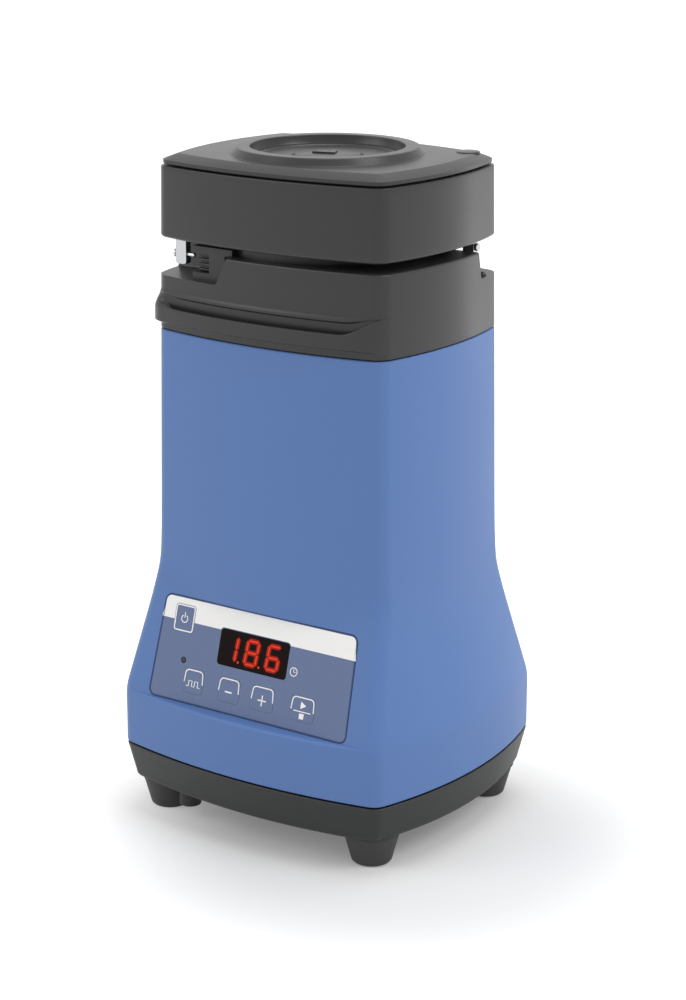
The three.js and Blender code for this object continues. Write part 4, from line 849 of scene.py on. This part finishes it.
# %% [markdown]
# The cover is a second, separate plate. A narrow shadow line parts it from the cap, whose rim is
# stepped down so that the cover's skirt hides the joint. Its edge rises in a soft slope to a
# plateau with a raised ring, and the dish inside the ring has a low round boss. A disc laid on a
# plate would show a seam, so the levels pass from the bowed outline to circles in one surface.

# %% Lid cover: from the bowed outline to the round ring
SKIRT_FOOT, COVER_FOOT, COVER_TOP, RING_TOP = 235.0, 235.6, 238.5, 241.0
EDGE_INSET, SLOPE_WIDE, SLOPE_FOOT, SLOPE_HIGH = 0.6, 4.2, 0.9, 1.94
plate = wall(COVER_FOOT)


def round_level(radius, z):
    angles = [math.atan2(y, x) for x, y in plate]
    return [(radius * math.cos(a), radius * math.sin(a), z) for a in angles]


def cover_level(inset, z):
    return at(wall(COVER_FOOT, -inset), z)


levels = [cover_level(3.2, COVER_FOOT), cover_level(3.2, SKIRT_FOOT), cover_level(0.9, SKIRT_FOOT)]
levels += [cover_level(EDGE_INSET, SKIRT_FOOT + 0.3), cover_level(EDGE_INSET, COVER_FOOT + SLOPE_FOOT)]
for k in range(1, 11):
    share = k / 10
    climb = 0.85 * share + 0.15 * (1 - (1 - share) ** 2)
    z = COVER_FOOT + SLOPE_FOOT + SLOPE_HIGH * climb
    levels.append(cover_level(EDGE_INSET + SLOPE_WIDE * share, z))
levels += [cover_level(4.95, COVER_TOP - 0.02), cover_level(5.4, COVER_TOP), round_level(33.6, COVER_TOP)]
profile = rounding(33.9, 238.9, 0.4, -90, -160, 3) + rounding(31.2, 240.2, 0.8, 20, 90, 5)
profile += [(29.5, RING_TOP), (27.5, RING_TOP)] + rounding(27.2, 240.6, 0.4, 90, 180, 4)
profile += [(26.5, 238.4), (26.3, 238.1), (25.9, 238.0), (23.8, 238.0), (23.5, 237.9), (23.3, 237.6)]
profile += [(12.5, 237.6), (12.2, 237.1), (11.7, 237.1), (11.4, 238.0), (11.1, 238.2), (6, 238.25)]
profile += [(1, 238.25)]
levels += [round_level(r, z) for r, z in profile]
cover = grown("lid_cover_plate", levels)
smooth(cover, 40)
finished(cover, "lid", DARK, "lid_cover")

# %% [markdown]
# On the boss a raised pointer with a notched tail shows which way the lid is turned, and a low round
# button stands near one corner. Both belong to the cover's moulding. Joined with a boolean they
# would leave long thin faces round them, so they are pieces of their own that ride with the lid.

# %% The pointer
POINTER = [(-5.4, 0.2), (2.4, -2.3), (3.4, 3.1), (2.9, 4.5), (0.6, 1.4), (-0.5, 3)]
arrow = slab("turn_arrow", POINTER, 238.0, 238.85)
moved(arrow, Matrix.Rotation(TURN, 4, "Z"))
soften(arrow, 0.15, 2, 30)
finished(arrow, "lid", DARK)

# %% The low round button near the corner of the cover
BUTTON = [(0, 238.2), (4.2, 238.2), (4.2, 238.6), (4, 238.8), (3.5, 238.9), (0, 238.9)]
button = turned("corner_button", BUTTON, 64)
moved(smooth(button), shifted(39.2, 28.1))
finished(button, "lid", DARK)

# %% [markdown]
# A steel plug closes the chamber. It hangs from the lid's hub and carries a silicone ring. Both are
# round, so each is turned from one profile, and the small radii are drawn in the profile itself.
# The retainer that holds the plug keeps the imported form, as nothing of it can be seen.

# %% Plug and its seal
PLUG = [(0.3, 210.5), (20, 210.5)] + rounding(22.5, 211.5, 2.6, -100, -60, 4)
PLUG += rounding(25.6, 209.6, 0.6, 215, 360, 6) + [(27, 210.6), (27, 215.4)]
PLUG += rounding(32.9, 215.9, 0.5, -90, 0, 3) + rounding(32.9, 216.9, 0.5, 0, 90, 3)
PLUG += [(8, 217.4), (8, 233.1), (3, 233.1), (3, 227.1), (0.3, 227.1)]
plug = smooth(turned("steel_plug", PLUG, 160))
finished(plug, "plug", TURNED, "lid_insert")
SEAL_RING = rounding(32.6, 213.5, 0.4, -90, 0, 3) + rounding(32.6, 214.7, 0.4, 0, 90, 3)
SEAL_RING += rounding(28.8, 214.7, 0.4, 90, 180, 3) + rounding(28.8, 213.5, 0.4, 180, 270, 3)
finished(smooth(turned("seal_ring", SEAL_RING, 160)), "plug", SILICONE, "lid_seal")

# %% [markdown]
# Two flat steel bars hang from the lid. Each has a cross pin that turns under the catch's lip and
# holds the lid down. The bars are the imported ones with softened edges. The pins have a head and a
# chamfered end, so they are turned upright and then laid along X.

# %% Lock bars and their cross pins
PIN = [(0, -3.5), (1.2, -3.5), (1.4, -3.3), (1.4, -2.65), (1.3, -2.55), (0.8, -2.55), (0.8, 5.05),
       (0.6, 5.25), (0, 5.25)]
PIN_PLACE, ALONG_X = shifted(-BAR_X, -BAR_Y, 204.6), Matrix.Rotation(math.pi / 2, 4, "Y")
for side, corner in (("left", Matrix.Identity(4)), ("right", HALF_TURN)):
    strip = from_node(f"steel_bar_{side}", f"lock_bar_{side}", 0.3, 3, 40)
    finished(strip, "lid", STEEL, f"lock_bar_{side}")
    peg = smooth(turned(f"cross_pin_{side}", PIN, 40))
    moved(peg, corner @ PIN_PLACE @ ALONG_X)
    finished(peg, "lid", STEEL, f"lock_pin_{side}")

# %% [markdown]
# ## The key panel
# The panel is a thin foil on the facet: blue-grey, with a white strip along the top and a fine dark
# line round the edge. The keys are small caps behind it that stand a little proud. A painted
# pattern could carry the print, but its edges would blur, so each printed area is a thin piece. All
# of it is drawn in the facet's own plane and then laid onto the facet.

# %% Foil with its openings
FOIL_THICK, GAP, THROUGH = 0.6, 0.05, (-2, 2)
LIGHT_HOLE = 1.15
foil = slab("panel_sheet", panel(0), -FOIL_THICK, 0)
for name, sides in KEYS.items():
    carve(foil, slab(name, hole(sides, GAP), *THROUGH))
carve(foil, slab("window", hole(WINDOW, GAP), *THROUGH))
steps = [k * math.pi / 16 for k in range(32)]
round_hole = [(LIGHT_X + LIGHT_HOLE * math.cos(t), LIGHT_Y + LIGHT_HOLE * math.sin(t)) for t in steps]
carve(foil, slab("light", round_hole, *THROUGH))
soften(foil, 0.04, 2, 40)
finished(moved(foil, FRONT), "housing_body", FOIL, "panel_foil")

# %% Printed areas: a thin flat piece for each, laid on the foil
INK_HIGH, LINE_OUT, LINE_IN, STRIP_FOOT = 0.04, -0.05, -0.42, 28.95


def printed(name, points, level=0.0, holes=()):
    sheet = slab(name, points, level - 0.02, level + INK_HIGH)
    for k, points_of_hole in enumerate(holes):
        carve(sheet, slab(f"{name}_{k}", points_of_hole, level - 1, level + 1))
    return sheet


def joined(name, pieces):
    rest()
    for piece in pieces:
        piece.select_set(True)
    bpy.context.view_layer.objects.active = pieces[0]
    if len(pieces) > 1:
        bpy.ops.object.join()
    pieces[0].name = name
    rest()
    return pieces[0]


def ink(piece, body="housing_body", material=WHITE):
    return finished(moved(piece, FRONT), body, material)


line = printed("edge_line", panel(LINE_OUT), 0, [panel(LINE_IN)])
ink(line, material=INK)
top_edge = [(x, y) for x, y in panel(LINE_IN) if y > STRIP_FOOT]
strip_outline = [(42.0, STRIP_FOOT)] + top_edge + [(-42.0, STRIP_FOOT)]
strip = printed("white_strip", strip_outline, 0, [hole(KEYS["key_power"], 0.1), hole(WINDOW, 0.35)])
ink(strip)

# %% [markdown]
# The window is a dark pane. On the mill the digits shine through it. A clear pane over a display
# would be truer, but it would mirror the lamps and hide them, so the three digits are drawn on its
# face. Of the seven segments of each, the lit ones are drawn, as six-sided bars that lean a little,
# and a dim glow lies round them.

# %% Window
pane = slab("display_pane", hole(WINDOW, 0), -FOIL_THICK, 0)
soften(pane, 0.1, 2, 40)
finished(moved(pane, FRONT), "housing_body", PANE, "display_window")

# %% Seven-segment digits
SEGMENTS = {"a": (0, 1, 1, 1), "b": (1, 1, 1, 0.5), "c": (1, 0.5, 1, 0), "d": (0, 0, 1, 0),
            "e": (0, 0.5, 0, 0), "f": (0, 1, 0, 0.5), "g": (0, 0.5, 1, 0.5)}
LIT = {"1": "bc", "8": "abcdefg", "6": "acdefg"}
DIGIT_WIDE, DIGIT_HIGH, DIGIT_FOOT, LEAN = 4.65, 8.3, 19.05, 0.07
HALF_BAR, BAR_GAP, HALO_WIDE, POINT, LAYER = 0.31, 0.25, 0.6, 0.42, 0.02


def segment(x0, y0, x1, y1, half, trim):
    along = Vector((x1 - x0, y1 - y0)).normalized()
    side = Vector((-along.y, along.x)) * half
    a, b = Vector((x0, y0)) + along * trim, Vector((x1, y1)) - along * trim
    tip = along * half
    return [a, a + tip + side, b - tip + side, b, b - tip - side, a + tip - side]


def digit(name, mark, centre, grow, level):
    sheets = []
    for key in LIT[mark]:
        x0, y0, x1, y1 = SEGMENTS[key]
        ends = (x0 * DIGIT_WIDE, y0 * DIGIT_HIGH, x1 * DIGIT_WIDE, y1 * DIGIT_HIGH)
        shape = segment(*ends, HALF_BAR + grow, BAR_GAP - grow)
        points = [(centre - DIGIT_WIDE / 2 + p.x + LEAN * p.y, DIGIT_FOOT + p.y) for p in shape]
        sheets.append(slab(f"{name}_{key}", points, level, level + LAYER))
    return sheets


glow_bars, lit_bars = [], []
for mark, centre in (("1", -10.3), ("8", -1.3), ("6", 7.9)):
    glow_bars += digit("glow_bar", mark, centre, HALO_WIDE, 0)
    lit_bars += digit("lit_bar", mark, centre, 0, LAYER)
for centre in (-6.3, 2.7):
    steps = [k * math.pi / 8 for k in range(16)]
    dot = [(centre + POINT * math.cos(t), DIGIT_FOOT - 0.15 + POINT * math.sin(t)) for t in steps]
    lit_bars.append(slab("point", dot, LAYER, 2 * LAYER))
ink(joined("digit_glow", glow_bars), material=HALO)
ink(joined("digit_segments", lit_bars), material=GLOW)

# %% Status light
lamp = turned("status_lamp", [(0, -5), (1, -5), (1, -0.4), (0.85, -0.1), (0.5, 0), (0, 0)], 32)
smooth(moved(lamp, shifted(LIGHT_X, LIGHT_Y)))
finished(moved(lamp, FRONT), "housing_body", BLACK, "status_led")

# %% [markdown]
# Each key carries a white printed mark. The power key is framed all round. The other four have an
# arch over a sign: pulses for interval running, minus, plus, and a triangle over a square to start
# and stop. The marks ride on the caps, so they go in with the key. Text objects have no such signs,
# so the outline of each is worked out from the line that a pen would draw.

# %% Lines and arches as flat shapes
ARCH_LINE, SIGN_LINE, CLOCK_LINE = 0.42, 0.34, 0.26


def stroke(points, width):
    """The outline of a line drawn through some points."""
    sides = ([], [])
    for i, (x, y) in enumerate(points):
        (ax, ay), (bx, by) = points[max(i - 1, 0)], points[min(i + 1, len(points) - 1)]
        length = math.hypot(bx - ax, by - ay)
        nx, ny = (ay - by) / length * width / 2, (bx - ax) / length * width / 2
        sides[0].append((x + nx, y + ny))
        sides[1].append((x - nx, y - ny))
    return sides[0] + sides[1][::-1]


def arc(x, y, radius, first, last, steps=10):
    angles = [math.radians(first + (last - first) * k / steps) for k in range(steps + 1)]
    return [(x + radius * math.cos(a), y + radius * math.sin(a)) for a in angles]


def arch(sides, foot=3.6):
    left, right, low, high = sides
    top, r = high - 0.35, 1.5
    return stroke([(left + 0.3, low + foot)] + arc(left + 0.55 + r, top - r, r, 180, 90)
                  + arc(right - 0.55 - r, top - r, r, 90, 0) + [(right - 0.3, low + foot)], ARCH_LINE)


def bar_of(x, y, half_x, half_y):
    left, right, low, high = x - half_x, x + half_x, y - half_y, y + half_y
    return [(left, low), (right, low), (right, high), (left, high)]


# %% Key caps with their marks
CAP_FOOT, CAP_TOP = -2.85, 0.06
PULSES = [(-27, 6.6), (-26, 6.6), (-25.99, 8.6), (-24.6, 8.6), (-24.59, 6.6), (-23.4, 6.6),
          (-23.39, 8.6), (-22, 8.6), (-21.99, 6.6), (-21, 6.6)]
MARKS = {
    "key_power": [stroke(arc(-32, 29.7, 1.35, 122, 418, 24), SIGN_LINE), bar_of(-32, 31, 0.17, 1.0)],
    "key_interval": [arch(KEYS["key_interval"]), stroke(PULSES, SIGN_LINE)],
    "key_minus": [arch(KEYS["key_minus"]), bar_of(-8.35, 7.9, 1.5, 0.26)],
    "key_plus": [arch(KEYS["key_plus"]), bar_of(6.3, 7.9, 1.75, 0.24), bar_of(6.3, 7.9, 0.24, 1.9)],
    "key_start": [arch(KEYS["key_start"]), bar_of(23.55, 7.6, 3.6, 0.16),
                  [(22.7, 8.5), (25, 9.8), (22.7, 11.1)], bar_of(23.55, 6, 0.95, 0.95)],
}
for name, sides in KEYS.items():
    cap = slab(f"{name}_cap", hole(sides, 0), CAP_FOOT, CAP_TOP)
    soften(cap, 0.05, 2, 40)
    x, y = (sides[0] + sides[1]) / 2, (sides[2] + sides[3]) / 2
    stem = turned("stem", [(0, -6.0), (1.8, -6.0), (1.8, -2.8), (0, -2.8)], 32)
    carve(cap, moved(stem, shifted(x, y)), "UNION")
    smooth(cap)
    finished(moved(cap, FRONT), name, FOIL, name)
    sheets = [printed(f"{name}_mark_{k}", shape, CAP_TOP) for k, shape in enumerate(MARKS[name])]
    if name == "key_power":
        sheets.append(printed("frame", hole(sides, -0.12), CAP_TOP, [hole(sides, -0.6)]))
    ink(joined(f"{name}_print", sheets), name)

# %% A clock face beside the window says that the digits are a time
outside, inside = arc(17.6, 20.4, 1.6, 0, 345, 23), arc(17.6, 20.4, 1.3, 0, 345, 23)
dial_print = printed("clock_face", outside, 0, [inside])
hands = printed("clock_hands", stroke([(17.6, 21.4), (17.6, 20.35), (18.4, 20.35)], CLOCK_LINE), 0)
ink(joined("clock_print", [dial_print, hands]))

# %% [markdown]
# ## The mains inlet
# At the back, a six-sided socket with three flat pins is set in the opposite facet. The photograph
# doesn't show it, so it has the common form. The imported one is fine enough, and only its edges are
# softened.

# %% Mains inlet
socket = from_node("mains_socket", "mains_inlet", 0.3, 2, 40)
finished(socket, "housing_body", BLACK, "mains_inlet")

# %% [markdown]
# ## The stage
# The photograph is a product shot: white all round, with a soft shadow on a white floor. The floor
# is a large plane. For the camera it shines by itself, a little under the mill and more away from
# it, which lifts it to white there. The weak glow round a point to the front right of the mill's
# middle leaves a painted shadow there, on top of the lamps' own, and further out the strong glow
# paints the lamps' shadows over in white. Brighter lamps would lift the floor too, but they would
# wash out the mill. The world is white for the camera and a soft grey for the light, and the paper
# is a little darker to the eye than to the light.

# %% Floor
def any_view(tree):
    """One for rays that are seen directly, in a reflection or through a clear piece."""
    seen = tree.nodes.new("ShaderNodeLightPath")
    total = seen.outputs["Is Camera Ray"]
    for kind in ("Is Glossy Ray", "Is Transmission Ray"):
        either = tree.nodes.new("ShaderNodeMath")
        either.operation = "MAXIMUM"
        tree.links.new(total, either.inputs[0])
        tree.links.new(seen.outputs[kind], either.inputs[1])
        total = either.outputs[0]
    return total


FLOOR_TO_LIGHT, FLOOR_TO_EYE = 0.78, 0.66
# The glow is weakest round this centre and grows to full strength further out: a painted shadow round the
# mill.
PAINTED_SHADOW_CENTRE, GLOW_NEAR, GLOW_FAR = (0.045, -0.02, 0), 0.05, 0.15
GLOW_UNDER, GLOW_AWAY = 0.16, 0.66
rest()
bpy.ops.mesh.primitive_plane_add(size=30, location=(0, 0, 0))
floor = bpy.context.object
floor.name = "floor"
paper = bpy.data.materials.new("floor paper")
paper.use_nodes = True
tree = paper.node_tree
matt = tree.nodes["Principled BSDF"]
ground = tree.nodes.new("ShaderNodeMapRange")
ground.inputs["To Min"].default_value = FLOOR_TO_LIGHT
ground.inputs["To Max"].default_value = FLOOR_TO_EYE
tree.links.new(any_view(tree), ground.inputs["Value"])
tree.links.new(ground.outputs["Result"], matt.inputs["Base Color"])
matt.inputs["Roughness"].default_value = 0.9
matt.inputs["Specular IOR Level"].default_value = 0.1
glow = tree.nodes.new("ShaderNodeEmission")
glow.inputs["Color"].default_value = (1, 1, 1, 1)
place = tree.nodes.new("ShaderNodeTexCoord")
away = tree.nodes.new("ShaderNodeVectorMath")
away.operation = "DISTANCE"
away.inputs[1].default_value = PAINTED_SHADOW_CENTRE
tree.links.new(place.outputs["Object"], away.inputs[0])
# Less glow near the centre paints the shadow round the mill; more glow further out paints the floor
# white.
share = tree.nodes.new("ShaderNodeMapRange")
share.interpolation_type = "SMOOTHSTEP"
share.inputs["From Min"].default_value = GLOW_NEAR
share.inputs["From Max"].default_value = GLOW_FAR
share.inputs["To Min"].default_value = GLOW_UNDER
share.inputs["To Max"].default_value = GLOW_AWAY
tree.links.new(away.outputs["Value"], share.inputs["Value"])
lift = tree.nodes.new("ShaderNodeMath")
lift.operation = "MULTIPLY"
tree.links.new(any_view(tree), lift.inputs[0])
tree.links.new(share.outputs["Result"], lift.inputs[1])
tree.links.new(lift.outputs[0], glow.inputs["Strength"])
both = tree.nodes.new("ShaderNodeAddShader")
tree.links.new(matt.outputs[0], both.inputs[0])
tree.links.new(glow.outputs[0], both.inputs[1])
tree.links.new(both.outputs[0], tree.nodes["Material Output"].inputs["Surface"])
floor.data.materials.append(paper)
print(floor.name, "with", len(tree.nodes), "nodes in its paper")

# %% [markdown]
# The light comes from large soft lamps, as in a product studio: one from the right, one from the
# left front and one from above. A narrow, weak strip behind the right side adds a little sheen along
# that edge. Small lamps would throw hard shadows, which the photograph doesn't have.

# %% World and lamps
WORLD_TO_LIGHT, WORLD_TO_EYE = 0.5, 1.0
AIM = Vector((0, 0, 0.12))
world = bpy.data.worlds.new("studio")
bpy.context.scene.world = world
world.use_nodes = True
tree = world.node_tree
sky = tree.nodes["Background"]
sky.inputs["Color"].default_value = (1, 1, 1, 1)
level = tree.nodes.new("ShaderNodeMapRange")
level.inputs["To Min"].default_value = WORLD_TO_LIGHT
level.inputs["To Max"].default_value = WORLD_TO_EYE
tree.links.new(any_view(tree), level.inputs["Value"])
tree.links.new(level.outputs["Result"], sky.inputs["Strength"])


def lamp(name, place, size, power, tall=None):
    rest()
    bpy.ops.object.light_add(type="AREA", location=place)
    light = bpy.context.object
    light.name = name
    light.data.shape = "RECTANGLE" if tall else "DISK"
    light.data.size = size
    light.data.size_y = tall or size
    light.data.energy = power
    aim = AIM - light.location
    light.rotation_euler = aim.to_track_quat("-Z", "Y").to_euler()
    print(name, "with", power, "watts")


lamp("key lamp", (1.6, 0.2, 1.7), size=1.2, power=18)
lamp("fill lamp", (-1.4, -1.6, 1.3), size=1.6, power=14)
lamp("top lamp", (0.1, 0.4, 2.2), size=1.4, power=18)
lamp("strip lamp", (0.253, 0.555, 0.12), size=0.05, power=0.12, tall=0.2)
